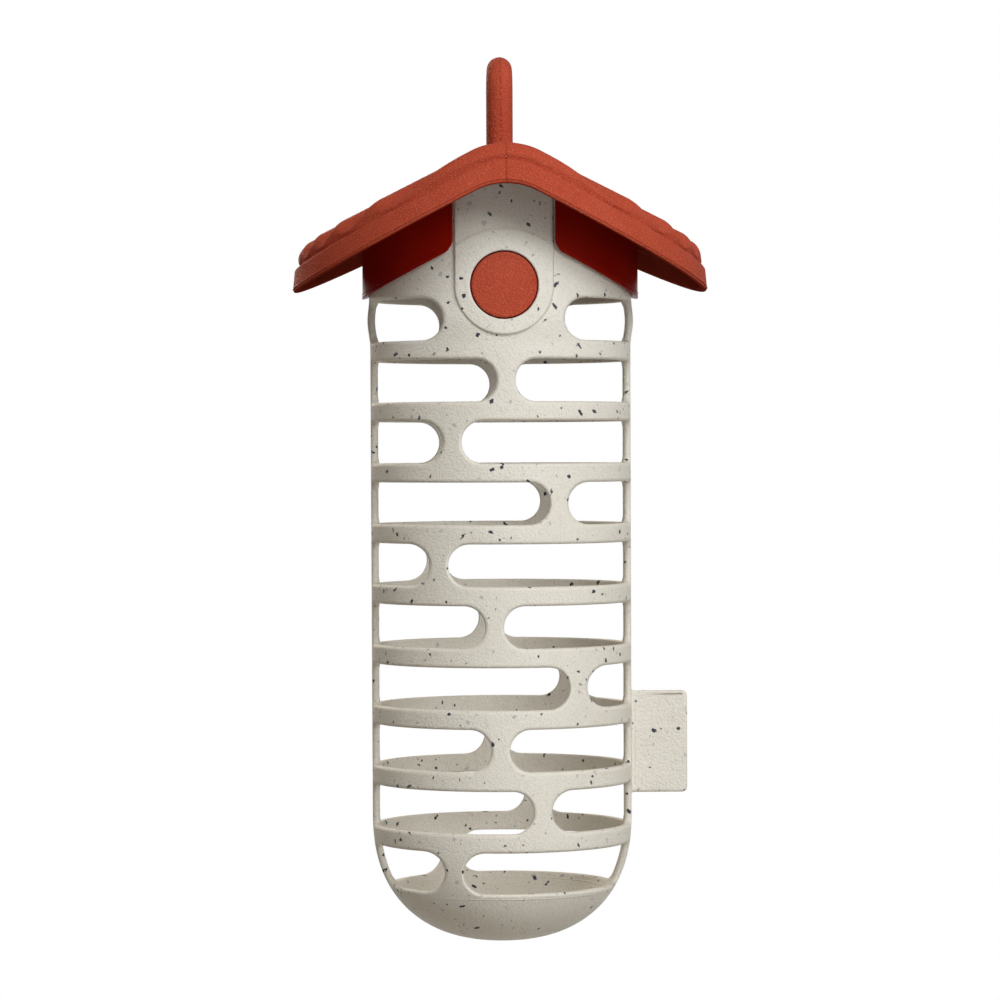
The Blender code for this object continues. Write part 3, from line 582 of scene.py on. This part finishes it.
def roof_section():
    """The roof's section as (radius, height, bend radius, ridge share), heights from the crest.

    It runs from the apex outwards, round the fascia and back below to the apex.
    """
    def leg(one, two, steps):
        return [tuple(np.array(one) + (np.array(two) - one) * i / steps) for i in range(1, steps)]

    top_radius = FASCIA_RADIUS - FASCIA_DRAFT
    ledge, eave = -LEDGE_DROP, -EAVE_DROP
    edge_in = RIDGED_RADIUS - RIDGED_EDGE_ROUND
    rings = int(edge_in / RING_STEP)
    outline = [(edge_in * i / rings, 0.0) for i in range(rings)]
    outline += arc((edge_in, -RIDGED_EDGE_ROUND), RIDGED_EDGE_ROUND, 90, -RIDGED_SIDE_LEAN, 12)
    lean = math.radians(RIDGED_SIDE_LEAN)
    foot_z = ledge + RIDGED_FOOT_FILLET * (1 + math.sin(lean))
    foot = (outline[-1][0] - (outline[-1][1] - foot_z) * math.tan(lean), foot_z)
    outline += leg(outline[-1], foot, 6)
    fillet_centre = (foot[0] + RIDGED_FOOT_FILLET * math.cos(lean), ledge + RIDGED_FOOT_FILLET)
    outline += arc(fillet_centre, RIDGED_FOOT_FILLET, 180 - RIDGED_SIDE_LEAN, 270, 6)
    edge = top_radius - FASCIA_EDGE_ROUND
    outline += arc((edge, ledge - FASCIA_EDGE_ROUND), FASCIA_EDGE_ROUND, 90, 0, 6)[1:]
    line_foot = eave + LIP_ROUND
    outline += leg(outline[-1], (FASCIA_RADIUS, line_foot + LIP_LINE_WIDTH), 8)
    for i in range(LIP_LINE_STEPS + 1):
        share = i / LIP_LINE_STEPS
        proud = LIP_LINE_HEIGHT * math.sin(math.pi * share) ** 2 - LIP_RECESS * share
        outline.append((FASCIA_RADIUS + proud, line_foot + LIP_LINE_WIDTH * (1 - share)))
    lip = FASCIA_RADIUS - LIP_RECESS - LIP_ROUND
    outline += arc((lip, eave + LIP_ROUND), LIP_ROUND, 0, -90, 6)[1:]
    inner_foot = FASCIA_RADIUS - FASCIA_WALL
    outline += arc((inner_foot + LIP_ROUND, eave + LIP_ROUND), LIP_ROUND, 270, 180, 5)
    inner_top = top_radius - FASCIA_WALL
    root = ledge - RIM_ROOT
    outline += leg(outline[-1], (inner_top, root - RIM_FILLET), 6)
    outline += arc((inner_top - RIM_FILLET, root - RIM_FILLET), RIM_FILLET, 0, 90, 4)
    rim = RIDGED_RADIUS - RIM_WIDTH
    outline += [(rim + RIM_CHAMFER, root), (rim, root + RIM_CHAMFER)]
    outline += leg(outline[-1], (rim, -ROOF_WALL - RIM_FILLET), 4)
    outline += arc((rim - RIM_FILLET, -ROOF_WALL - RIM_FILLET), RIM_FILLET, 0, 90, 4)
    under = rim - RIM_FILLET
    outline += [(under * (1 - i / rings), -ROOF_WALL) for i in range(1, rings + 1)]

    section = []
    turning = outline.index(min(outline, key=lambda p: p[1]))
    for i, (radius, height) in enumerate(outline):
        if height < ledge:
            share = (ledge - height) / FASCIA_HEIGHT
            bend = LEDGE_BEND_RADIUS + (EAVE_BEND_RADIUS - LEDGE_BEND_RADIUS) * share
            ridge = 0.0
        else:
            share = height / ledge
            bend = CREST_BEND_RADIUS + (LEDGE_BEND_RADIUS - CREST_BEND_RADIUS) * share
            ridge = 1 - share
        if i > turning and height >= root:
            ridge = (height - root) / (-ROOF_WALL - root)
            bend = LEDGE_BEND_RADIUS + (CREST_BEND_RADIUS - LEDGE_BEND_RADIUS) * ridge
        section.append((radius, height, bend, ridge))
    return section


def roof_tree(plastic, underside):
    """Node tree that sweeps a section round Z, bends it to a gable and presses the ridges in.

    Faces that look up or outwards take the plastic. Those that look down or inwards take the underside's
    material, a darker red painted as the shade under the roof.
    """
    tree = bpy.data.node_groups.new("ridged_gable_roof", "GeometryNodeTree")
    sockets = {"Section": "Geometry", "Section Points": "Int", "Spokes": "Int", "Crest Height": "Float",
               "Pitch Angle": "Float", "Ridge Pitch": "Float", "Ridge Depth": "Float"}
    for name, kind in sockets.items():
        tree.interface.new_socket(name=name, in_out="INPUT", socket_type="NodeSocket" + kind)
    tree.interface.new_socket(name="Roof", in_out="OUTPUT", socket_type="NodeSocketGeometry")
    given = add(tree, "NodeGroupInput").outputs

    # A flat grid: the section's points along X, the spokes along Y
    grid = add(tree, "GeometryNodeMeshGrid", {
        "Size X": 1.0, "Size Y": 1.0, "Vertices X": given["Section Points"],
        "Vertices Y": given["Spokes"],
    })
    flat = add(tree, "ShaderNodeSeparateXYZ", [add(tree, "GeometryNodeInputPosition")]).outputs
    last = add(tree, MATH, [given["Section Points"], 1.0], operation="SUBTRACT")
    station = add(tree, MATH, [add(tree, MATH, [flat[0], 0.5]), last], operation="MULTIPLY")
    index = add(tree, MATH, [station], operation="ROUND")
    turn = add(tree, MATH, [add(tree, MATH, [flat[1], 0.5]), math.tau], operation="MULTIPLY")

    # Each grid point takes the place and the rule of its section point
    at_section = {"data_type": "FLOAT_VECTOR", "domain": "POINT"}
    spot = add(tree, "GeometryNodeSampleIndex", {
        "Geometry": given["Section"], "Value": add(tree, "GeometryNodeInputPosition"), "Index": index,
    }, **at_section)
    rule = add(tree, "GeometryNodeSampleIndex", {
        "Geometry": given["Section"], "Index": index,
        "Value": add(tree, "GeometryNodeInputNamedAttribute", {"Name": "rule"}, data_type="FLOAT_VECTOR"),
    }, **at_section)
    spot = add(tree, "ShaderNodeSeparateXYZ", [spot]).outputs
    rule = add(tree, "ShaderNodeSeparateXYZ", [rule]).outputs
    radius, height, bend, ridge = spot[0], spot[2], rule[0], rule[1]
    x = add(tree, MATH, [radius, add(tree, MATH, [turn], operation="COSINE")], operation="MULTIPLY")
    y = add(tree, MATH, [radius, add(tree, MATH, [turn], operation="SINE")], operation="MULTIPLY")

    # The gable: a round bend at the crest, then a straight slope
    across = add(tree, MATH, [x], operation="ABSOLUTE")
    sine = add(tree, MATH, [given["Pitch Angle"]], operation="SINE")
    tangent = add(tree, MATH, [given["Pitch Angle"]], operation="TANGENT")
    reach = add(tree, MATH, [bend, sine], operation="MULTIPLY")
    bent = add(tree, MATH, [across, reach], operation="MINIMUM")
    bend_squared = add(tree, MATH, [bend, bend], operation="MULTIPLY")
    bent_squared = add(tree, MATH, [bent, bent], operation="MULTIPLY")
    chord = add(tree, MATH, [bend_squared, bent_squared], operation="SUBTRACT")
    rise = add(tree, MATH, [chord], operation="SQRT")
    round_drop = add(tree, MATH, [bend, rise], operation="SUBTRACT")
    straight = add(tree, MATH, [across, bent], operation="SUBTRACT")
    drop = add(tree, MATH, [straight, tangent, round_drop], operation="MULTIPLY_ADD")

    # The ridges: a squared sine across the slopes, deepest on the skin
    turn_rate = add(tree, MATH, [math.pi, given["Ridge Pitch"]], operation="DIVIDE")
    phase = add(tree, MATH, [y, turn_rate], operation="MULTIPLY")
    wave = add(tree, MATH, [phase], operation="SINE")
    valley = add(tree, MATH, [wave, wave], operation="MULTIPLY")
    depth = add(tree, MATH, [ridge, given["Ridge Depth"]], operation="MULTIPLY")
    lowered = add(tree, MATH, [valley, depth, drop], operation="MULTIPLY_ADD")
    level = add(tree, MATH, [height, given["Crest Height"]])
    z = add(tree, MATH, [level, lowered], operation="SUBTRACT")

    place = add(tree, "ShaderNodeCombineXYZ", [x, y, z])
    swept = add(tree, "GeometryNodeSetPosition", {"Geometry": grid, "Position": place})
    closed = add(tree, "GeometryNodeMergeByDistance", {"Geometry": swept, "Distance": MERGE_DISTANCE * MM})
    smooth = add(tree, "GeometryNodeSetShadeSmooth", {"Geometry": closed})
    real = add(tree, "GeometryNodeRealizeInstances", {"Geometry": smooth})
    dressed = add(tree, "GeometryNodeSetMaterial", {"Geometry": real, "Material": plastic})

    # Which faces look down or inwards
    position = add(tree, "GeometryNodeInputPosition")
    level_place = add(tree, VECTOR, [position, (1, 1, 0)], operation="MULTIPLY")
    outwards = add(tree, VECTOR, [level_place], operation="NORMALIZE")
    up_and_out = add(tree, VECTOR, [outwards, (0, 0, 1)], operation="ADD")
    facing = add(tree, VECTOR, [up_and_out, add(tree, "GeometryNodeInputNormal")], operation="DOT_PRODUCT")
    below = add(tree, MATH, [facing.outputs["Value"], 0.0], operation="LESS_THAN")
    dressed = add(tree, "GeometryNodeSetMaterial", {
        "Geometry": dressed, "Selection": below, "Material": underside,
    })
    add(tree, "NodeGroupOutput", {"Roof": dressed})
    return tree


def roof_shell(plastic, underside):
    """The corrugated shell and its fascia."""
    section = roof_section()
    mesh = bpy.data.meshes.new("roof_shell")
    points = [(radius * MM, 0, height * MM) for radius, height, _, _ in section]
    mesh.from_pydata(points, [(i, i + 1) for i in range(len(points) - 1)], [])
    rule = mesh.attributes.new("rule", "FLOAT_VECTOR", "POINT")
    for item, (_, _, bend, ridge) in zip(rule.data, section):
        item.vector = (bend * MM, ridge, 0)
    made = object_with("roof_shell", mesh, plastic)
    tree = roof_tree(plastic, underside)
    sweep = made.modifiers.new("sweep", "NODES")
    sweep.node_group = tree
    values = {
        "Section Points": len(section), "Spokes": ROOF_SPOKES,
        "Crest Height": CREST_Z * MM, "Pitch Angle": ROOF_PITCH_ANGLE,
        "Ridge Pitch": RIDGE_PITCH * MM, "Ridge Depth": RIDGE_DEPTH * MM,
    }
    for item in tree.interface.items_tree:
        if item.in_out == "INPUT" and item.name in values:
            sweep[item.identifier] = values[item.name]
    evaluated_mesh(made)
    return made


def ring_mesh(name, rings, material):
    """Skin a row of rings of points. A first or last ring of one point closes that end."""
    points, starts, faces = [], [], []
    for ring in rings:
        starts.append(len(points))
        points.extend(ring)
    for (one, low), (two, high) in zip(zip(rings, starts), zip(rings[1:], starts[1:])):
        count = max(len(one), len(two))
        for i in range(count):
            k = (i + 1) % count
            face = [low + i % len(one), low + k % len(one), high + k % len(two), high + i % len(two)]
            faces.append(list(dict.fromkeys(face)))
    mesh = bpy.data.meshes.new(name)
    mesh.from_pydata([tuple(c * MM for c in p) for p in points], [], faces)
    mesh.shade_smooth()
    return object_with(name, mesh, material)


def hanging_loop(plastic, segments=96, leg_rings=16, bend_rings=41):
    """A round rod bent to an arch across the ridge, with a fine parting line in its own plane."""
    bend_z = LOOP_ROD_RADIUS - LOOP_HALF_SPAN
    spine = [(-LOOP_HALF_SPAN, z, 180.0) for z in np.linspace(LOOP_FOOT_Z, bend_z, leg_rings)]
    for angle in np.linspace(180, 0, bend_rings)[1:-1]:
        turn = math.radians(angle)
        spine.append((LOOP_HALF_SPAN * math.cos(turn), bend_z + LOOP_HALF_SPAN * math.sin(turn), angle))
    spine += [(LOOP_HALF_SPAN, z, 0.0) for z in np.linspace(bend_z, LOOP_FOOT_Z, leg_rings)]
    rings = [[(0, -LOOP_HALF_SPAN, LOOP_FOOT_Z)]]
    for y, z, angle in spine:
        turn = math.radians(angle)
        ring = []
        for k in range(segments):
            around = math.tau * k / segments
            line = LOOP_PARTING_HEIGHT if k % (segments // 2) == 0 else 0
            out = (LOOP_ROD_RADIUS + line) * math.cos(around)
            side = LOOP_ROD_RADIUS * math.sin(around)
            ring.append((side, y + out * math.cos(turn), z + out * math.sin(turn)))
        rings.append(ring)
    rings.append([(0, LOOP_HALF_SPAN, LOOP_FOOT_Z)])
    return ring_mesh("loop_rod", rings, plastic)


def button(name, side, plastic, segments=128):
    """A crowned button on its headed stud."""
    face, back = BOSS_FACE - BUTTON_SUNK, ARM_FACE + STUD_SEAT_GAP
    stud_end, head = ARM_INNER - STUD_SEAT_GAP, STUD_HEAD_RADIUS
    radius, edge, bevel = BUTTON_RADIUS, BUTTON_EDGE_ROUND, BUTTON_CHAMFER
    low = stud_end - STUD_HEAD_HEIGHT
    profile = [(0, low), (head - bevel, low), (head, low + bevel), (head, stud_end)]
    profile += [(STUD_RADIUS, stud_end), (STUD_RADIUS, back), (radius - bevel, back)]
    profile += [(radius, back + bevel), (radius, face - edge - BUTTON_UNDER_EDGE)]
    profile += arc((radius - edge, face - edge), edge, 0, 90, 8)
    ring_foot, ring_top = BUTTON_RING_SHARES
    profile += [(radius * ring_foot, face), (radius * ring_top, face + BUTTON_RING_HEIGHT)]
    profile += [(radius * share, face) for share in BUTTON_FACE_SHARES]
    middle = (face + back) / 2
    rings = []
    for r, out in profile:
        ring = []
        for k in range(segments if r else 1):
            turn = math.tau * k / segments
            x = r * math.cos(turn)
            crown = BOSS_FACE - float(boss_front(x)) if out > middle else 0
            ring.append((-side * x, side * (out - crown), BUTTON_Z + r * math.sin(turn)))
        rings.append(ring)
    return ring_mesh(name, rings, plastic)


def linear(code):
    """Linear RGBA of an sRGB hex colour."""
    parts = [int(code[i:i + 2], 16) / 255 for i in (0, 2, 4)]
    return (*[c / 12.92 if c < 0.04045 else ((c + 0.055) / 1.055) ** 2.4 for c in parts], 1.0)


def plastic_base(name, roughness, specular):
    """A polypropylene with no texture yet, and the place on it in millimetres."""
    made = bpy.data.materials.new(name)
    made.use_nodes = True
    tree = made.node_tree
    shader = tree.nodes["Principled BSDF"]
    shader.inputs["Roughness"].default_value = roughness
    shader.inputs["IOR"].default_value = POLYPROPYLENE_IOR
    shader.inputs["Specular IOR Level"].default_value = specular
    place = add(tree, "ShaderNodeTexCoord").outputs["Object"]
    in_millimetres = add(tree, VECTOR, [place, (1 / MM,) * 3], operation="MULTIPLY")
    return made, tree, shader, in_millimetres


def spark_eroded_red():
    """Brick-red polypropylene out of a spark-eroded mould: a dull, even grain with small painted
    highlights.

    The grain is 0.3 mm wide on the real one, and is drawn at 0.45 mm so that it shows. A fine parting
    line runs over the crest, where the two halves of the mould meet.
    """
    made, tree, shader, place = plastic_base("spark_eroded_red_polypropylene", 0.5, 0.01)
    cloud_width, grain_width, line_half_width = 16, 0.45, 0.33
    cloud = add(tree, "ShaderNodeTexNoise", {"Vector": place, "Scale": 1 / cloud_width, "Detail": 2.0})
    grain = add(tree, "ShaderNodeTexNoise", {
        "Vector": place, "Scale": 1 / grain_width, "Detail": 1.0, "Roughness": 0.6,
    })
    mottle = add(tree, "ShaderNodeMapRange", {"Value": cloud, "From Min": 0.3, "From Max": 0.7})
    painted_glint = add(tree, "ShaderNodeMapRange", {"Value": grain, "From Min": 0.5, "From Max": 0.85})
    colour = add(tree, "ShaderNodeMix", {
        FACTOR: mottle, COLOUR_A: linear("AC4630"), COLOUR_B: linear("B44D37"),
    }, data_type="RGBA")
    # Painted highlight: the grain's high points turn lighter, to CA674E, standing in for specular sparkle.
    colour = add(tree, "ShaderNodeMix", {
        FACTOR: painted_glint, COLOUR_A: colour, COLOUR_B: linear("CA674E"),
    }, data_type="RGBA")
    tree.links.new(colour.outputs[MIXED], shader.inputs["Base Color"])
    parts = add(tree, "ShaderNodeSeparateXYZ", [place]).outputs
    below_roof = add(tree, MATH, [parts[2], BUTTON_Z + BUTTON_HOLE_RADIUS], operation="LESS_THAN")
    off_line = add(tree, "ShaderNodeMapRange", {
        "Value": add(tree, MATH, [parts[0]], operation="ABSOLUTE"), "From Max": line_half_width,
    }, interpolation_type="SMOOTHSTEP")
    off_line = add(tree, MATH, [off_line, below_roof], operation="MAXIMUM")
    line = add(tree, "ShaderNodeBump", {"Height": off_line, "Distance": 0.22 * MM})
    bump = add(tree, "ShaderNodeBump", {"Height": grain, "Distance": 0.5 * MM, "Normal": line})
    tree.links.new(bump.outputs[0], shader.inputs["Normal"])
    return made


def smooth_red(name, roughness, specular, deep, clear):
    """The red out of a smooth part of the mould: an even colour with soft flow marks. The colours it is
    given are darker than the spark-eroded red, in part as painted shade.
    """
    made, tree, shader, place = plastic_base(name, roughness, specular)
    flow_width = 9
    flow = add(tree, "ShaderNodeTexNoise", {"Vector": place, "Scale": 1 / flow_width, "Detail": 1.0})
    colour = add(tree, "ShaderNodeMix", {
        FACTOR: flow, COLOUR_A: linear(deep), COLOUR_B: linear(clear),
    }, data_type="RGBA")
    tree.links.new(colour.outputs[MIXED], shader.inputs["Base Color"])
    bump = add(tree, "ShaderNodeBump", {"Height": flow, "Distance": 0.05 * MM})
    tree.links.new(bump.outputs[0], shader.inputs["Normal"])
    return made


def flakes(tree, place, cell, half_width, stretch, shift):
    """1 inside thin ragged flakes, one to a cell, each turned its own way. Sizes in millimetres."""
    rag_width, rag_depth = 0.7, 1.1
    moved = add(tree, VECTOR, [place, shift], operation="ADD")
    rag = add(tree, "ShaderNodeTexNoise", {"Vector": moved, "Scale": 1 / rag_width, "Detail": 2.0})
    rag = add(tree, VECTOR, [rag.outputs["Color"], (0.5,) * 3], operation="SUBTRACT")
    moved = add(tree, VECTOR, [rag, (rag_depth,) * 3, moved], operation="MULTIPLY_ADD")
    cells = add(tree, "ShaderNodeTexVoronoi", {"Vector": moved, "Scale": 1 / cell}).outputs
    offset = add(tree, VECTOR, [moved, cells["Position"]], operation="SUBTRACT")
    way = add(tree, VECTOR, [cells["Color"], (0.5,) * 3], operation="SUBTRACT")
    way = add(tree, VECTOR, [way], operation="NORMALIZE")
    along = add(tree, VECTOR, [offset, way], operation="DOT_PRODUCT").outputs["Value"]
    squeeze = add(tree, MATH, [along, 1 / stretch - 1], operation="MULTIPLY")
    squeezed = add(tree, VECTOR, {0: way, "Scale": squeeze}, operation="SCALE")
    near = add(tree, VECTOR, [offset, squeezed], operation="ADD")
    reach = add(tree, VECTOR, [near], operation="LENGTH").outputs["Value"]
    chance = add(tree, "ShaderNodeSeparateColor", [cells["Color"]]).outputs[0]
    size = add(tree, MATH, [chance, half_width, 0.3 * half_width], operation="MULTIPLY_ADD")
    depth = add(tree, MATH, [size, reach], operation="SUBTRACT")
    return add(tree, "ShaderNodeMapRange", {"Value": depth, "From Min": -0.05, "From Max": 0.08})


def speckled_beige():
    """Warm beige recycled polypropylene: charcoal flakes at the skin, blue-grey ones sunk below it.

    The skin has a fine pebbled grain, coarser on the tag, drawn at 0.7 mm, or two of the photograph's
    pixels, so that it shows. A mould line runs round the foot.
    """
    made, tree, shader, place = plastic_base("speckled_recycled_polypropylene", 0.52, 0.3)
    cloud_width, grain_width, line_half_width = 18, 0.7, 0.35
    cloud = add(tree, "ShaderNodeTexNoise", {"Vector": place, "Scale": 1 / cloud_width, "Detail": 2.0})
    grain = add(tree, "ShaderNodeTexNoise", {
        "Vector": place, "Scale": 1 / grain_width, "Detail": 2.0, "Roughness": 0.6,
    })
    colour = add(tree, "ShaderNodeMix", {
        FACTOR: cloud, COLOUR_A: linear("D8D3C5"), COLOUR_B: linear("DEDACE"),
    }, data_type="RGBA")
    # Painted shade: where the grain is low, the colour darkens towards B9B3A2.
    painted_hollow_shade = add(tree, "ShaderNodeMapRange", {
        "Value": grain, "From Min": 0.55, "From Max": 0.2, "To Max": 0.5,
    })
    colour = add(tree, "ShaderNodeMix", {
        FACTOR: painted_hollow_shade, COLOUR_A: colour, COLOUR_B: linear("B9B3A2"),
    }, data_type="RGBA")
    layers = (
        (flakes(tree, place, 4.4, 0.52, 1.5, (37.0, 11.0, 5.0)), 0.5, "7F858F"),
        (flakes(tree, place, 3.3, 0.25, 1.8, (-13.0, 41.0, 17.0)), 0.6, "5E5C58"),
        (flakes(tree, place, 4.1, 0.5, 2.5, (0.0, 0.0, 0.0)), 1.0, "2A2D38"),
    )
    for mask, share, code in layers:
        share = add(tree, MATH, [mask, share], operation="MULTIPLY")
        colour = add(tree, "ShaderNodeMix", {
            FACTOR: share, COLOUR_A: colour, COLOUR_B: linear(code),
        }, data_type="RGBA")
    tree.links.new(colour.outputs[MIXED], shader.inputs["Base Color"])
    parts = add(tree, "ShaderNodeSeparateXYZ", [place]).outputs
    on_tag = add(tree, "ShaderNodeMapRange", {
        "Value": parts[0], "From Min": TUBE_RADIUS, "From Max": TUBE_RADIUS + 1,
    })
    leather = add(tree, "ShaderNodeTexVoronoi", {
        "Vector": place, "Scale": 1 / grain_width,
    }, feature="SMOOTH_F1")
    coarse = add(tree, MATH, [leather, on_tag], operation="MULTIPLY")
    height = add(tree, MATH, [coarse, 0.6, grain], operation="MULTIPLY_ADD")
    away = add(tree, MATH, [parts[2], MOULD_LINE_Z], operation="SUBTRACT")
    away = add(tree, MATH, [away], operation="ABSOLUTE")
    ring = add(tree, "ShaderNodeMapRange", {
        "Value": away, "From Max": line_half_width, "To Min": 1.0, "To Max": 0.0,
    }, interpolation_type="SMOOTHSTEP")
    line = add(tree, "ShaderNodeBump", {"Height": ring, "Distance": 0.1 * MM})
    bump = add(tree, "ShaderNodeBump", {"Height": height, "Distance": 0.26 * MM, "Normal": line})
    tree.links.new(bump.outputs[0], shader.inputs["Normal"])
    return made


def white_where_seen(tree, shade, white):
    """The given white for camera, glossy and transmission rays, and the shade for the rest."""
    path = add(tree, "ShaderNodeLightPath").outputs
    seen = add(tree, MATH, [path["Is Camera Ray"], path["Is Glossy Ray"]], operation="MAXIMUM")
    seen = add(tree, MATH, [seen, path["Is Transmission Ray"]], operation="MAXIMUM")
    return add(tree, "ShaderNodeMixShader", [seen, shade, white]).outputs[0]


def stage_floor():
    """A plain pale floor far below the hanging feeder."""
    bpy.ops.mesh.primitive_plane_add(size=FLOOR_SIZE, location=(0, 0, FLOOR_Z))
    floor = bpy.context.active_object
    floor.name = "stage_floor"
    made = bpy.data.materials.new("pale_studio_floor")
    made.use_nodes = True
    tree = made.node_tree
    shader = tree.nodes["Principled BSDF"]
    shader.inputs["Base Color"].default_value = linear("BFBCB6")
    shader.inputs["Roughness"].default_value = 0.8
    glow = add(tree, "ShaderNodeEmission", [linear("FFFFFF"), 1.0])
    half = add(tree, "ShaderNodeMixShader", [FLOOR_GLOW_SHARE, shader, glow])
    mixed = white_where_seen(tree, shader.outputs[0], half.outputs[0])
    tree.links.new(mixed, tree.nodes["Material Output"].inputs["Surface"])
    floor.data.materials.append(made)


def aim(thing, target):
    """Turn a lamp or the camera to look at a place."""
    thing.rotation_euler = (Vector(target) - thing.location).to_track_quat("-Z", "Y").to_euler()


def area_light(name, place, size, power, tint):
    """A round soft lamp that looks at the middle of the feeder."""
    lamp = bpy.data.lights.new(name, "AREA")
    lamp.shape = "DISK"
    lamp.size = size
    lamp.energy = power
    lamp.color = linear(tint)[:3]
    made = bpy.data.objects.new(name, lamp)
    made.location = place
    bpy.context.scene.collection.objects.link(made)
    aim(made, LAMP_TARGET)


def studio():
    """White surroundings that shed little light, and five soft lamps."""
    world = bpy.data.worlds.new("studio")
    world.use_nodes = True
    tree = world.node_tree
    way = add(tree, "ShaderNodeSeparateXYZ", [add(tree, "ShaderNodeTexCoord").outputs["Generated"]]).outputs
    strength = add(tree, "ShaderNodeMapRange", {
        "Value": way[2], "From Min": -0.1, "From Max": 1.0, "To Min": 0.04, "To Max": 0.35,
    })
    shade = tree.nodes["Background"]
    shade.inputs["Color"].default_value = linear("FFE6C4")
    tree.links.new(strength.outputs[0], shade.inputs["Strength"])
    white = add(tree, "ShaderNodeBackground", {"Color": linear("FFFFFF"), "Strength": 1.0}).outputs[0]
    mixed = white_where_seen(tree, shade.outputs[0], white)
    tree.links.new(mixed, tree.nodes["World Output"].inputs["Surface"])
    bpy.context.scene.world = world
    area_light("key_light", (0.61, -1.12, 0.43), size=0.5, power=9.4, tint=DAYLIGHT)
    area_light("front_light", (0.0, -1.07, 0.76), size=0.5, power=7.6, tint=DAYLIGHT)
    area_light("right_light", (1.23, -0.62, -0.4), size=0.5, power=3.2, tint=DAYLIGHT)
    area_light("low_light", (-0.1, -1.2, -0.42), size=0.5, power=1.9, tint=DAYLIGHT)
    area_light("rear_light", (-0.4, 1.25, 0.4), size=0.8, power=6.5, tint=WARM_LIGHT)


def camera():
    """The photograph's view: level with the upper third of the tube, from slightly left."""
    lens = bpy.data.cameras.new("camera")
    lens.lens = CAMERA_LENS
    lens.sensor_width = SENSOR_WIDTH
    made = bpy.data.objects.new("camera", lens)
    left, back = CAMERA_DISTANCE * math.sin(CAMERA_YAW), CAMERA_DISTANCE * math.cos(CAMERA_YAW)
    made.location = (-left, -back, CAMERA_Z)
    bpy.context.scene.collection.objects.link(made)
    aim(made, CAMERA_TARGET)
    made.rotation_euler.rotate_axis("Z", CAMERA_ROLL)
    bpy.context.scene.camera = made


def dress(piece, body, slot, *nodes):
    """Let a piece ride on a body, and stand for CAD nodes."""
    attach(piece, body)
    if nodes:
        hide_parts(*nodes)


red = spark_eroded_red()
# Partly painted shade: the polished red is deeper than the spark-eroded red because it is smooth, and
# darker because its colours paint the roof's shade on the collar.
gloss = smooth_red("polished_red_with_painted_shade", 0.3, 0.02, "820F05", "90180A")
# Painted shade: a darker matte red for the roof's faces that look down or inwards, standing in for the
# shade under the roof.
dull = smooth_red("painted_shade_underside_red", 0.8, 0.0, "802C1F", "8A3425")
beige = speckled_beige()

cage_axes = [
    stations(-TUBE_RADIUS - 2 * GRID_MARGIN, TAG_REACH + GRID_MARGIN, CAGE_CELL),
    stations(-BOSS_FACE - GRID_MARGIN, BOSS_FACE + GRID_MARGIN, CAGE_CELL),
    stations(CAGE_LOW.z - GRID_MARGIN, CAGE_HIGH.z + GRID_MARGIN, CAGE_CELL),
]
dress(moulding("cage_tube", cage, cage_axes, beige), "cage", "speckled_plastic", "cage")

notch = COLLAR_RADIUS * math.asin(NOTCH_HALF_WIDTH / COLLAR_RADIUS)
half_way = COLLAR_RADIUS * math.pi
notch_sides = (notch, half_way - notch, half_way + notch, 2 * half_way - notch)
bead_faces = (COLLAR_RADIUS, COLLAR_RADIUS + BEAD_PROUD)
bead_edges = (0, BEAD_HEIGHT, BEAD_LINE_HEIGHT)
round_low, round_high = notch_sides[0] - GRID_MARGIN, notch_sides[-1] + GRID_MARGIN
collar_axes = [
    stations(COLLAR_INNER - 0.5, COLLAR_RADIUS + 0.8, coarse=0.4, fine=0.12, near=bead_faces),
    stations(round_low, round_high, coarse=0.7, fine=0.16, near=notch_sides),
    stations(-0.5, COLLAR_GRID_HEIGHT, coarse=0.9, fine=0.12, near=bead_edges),
]
inside_axes = [
    stations(-ARM_HALF_WIDTH - GRID_MARGIN, ARM_HALF_WIDTH + GRID_MARGIN, INSIDE_CELL),
    stations(ARM_LOW.y - GRID_MARGIN, -ARM_LOW.y + GRID_MARGIN, INSIDE_CELL),
    stations(SOCKET_FLOOR_Z - GRID_MARGIN, CREST_Z + GRID_MARGIN, INSIDE_CELL),
]
dress(roof_shell(red, dull), "roof", "red_plastic", "roof")
dress(moulding("roof_collar", collar, collar_axes, gloss, unrolled), "roof", "red_plastic", "roof")
dress(moulding("roof_inside", inside, inside_axes, gloss), "roof", "red_plastic", "roof")
dress(hanging_loop(red), "roof", "red_plastic", "hanging_loop")
for label, side in (("front", -1), ("rear", 1)):
    latch, arm = label + "_latch", label + "_spring_arm"
    low, high = sorted((side * (ARM_INNER - ARM_GRID_MARGIN), side * (ARM_FACE + ARM_GRID_MARGIN)))
    arm_axes = [
        stations(-ARM_PAD_RADIUS - GRID_MARGIN, ARM_PAD_RADIUS + GRID_MARGIN, INSIDE_CELL),
        stations(low, high, INSIDE_CELL / 2),
        stations(BUTTON_Z - ARM_PAD_RADIUS - GRID_MARGIN, ARM_HIGH.z + GRID_MARGIN, INSIDE_CELL),
    ]
    dress(button(label + "_push_button", side, red), latch, "red_plastic", label + "_button")
    dress(moulding(label + "_arm_strip", spring_arm, arm_axes, gloss), latch, "red_plastic", arm)

stage_floor()
studio()
camera()
bpy.context.scene.view_settings.view_transform = "Standard"
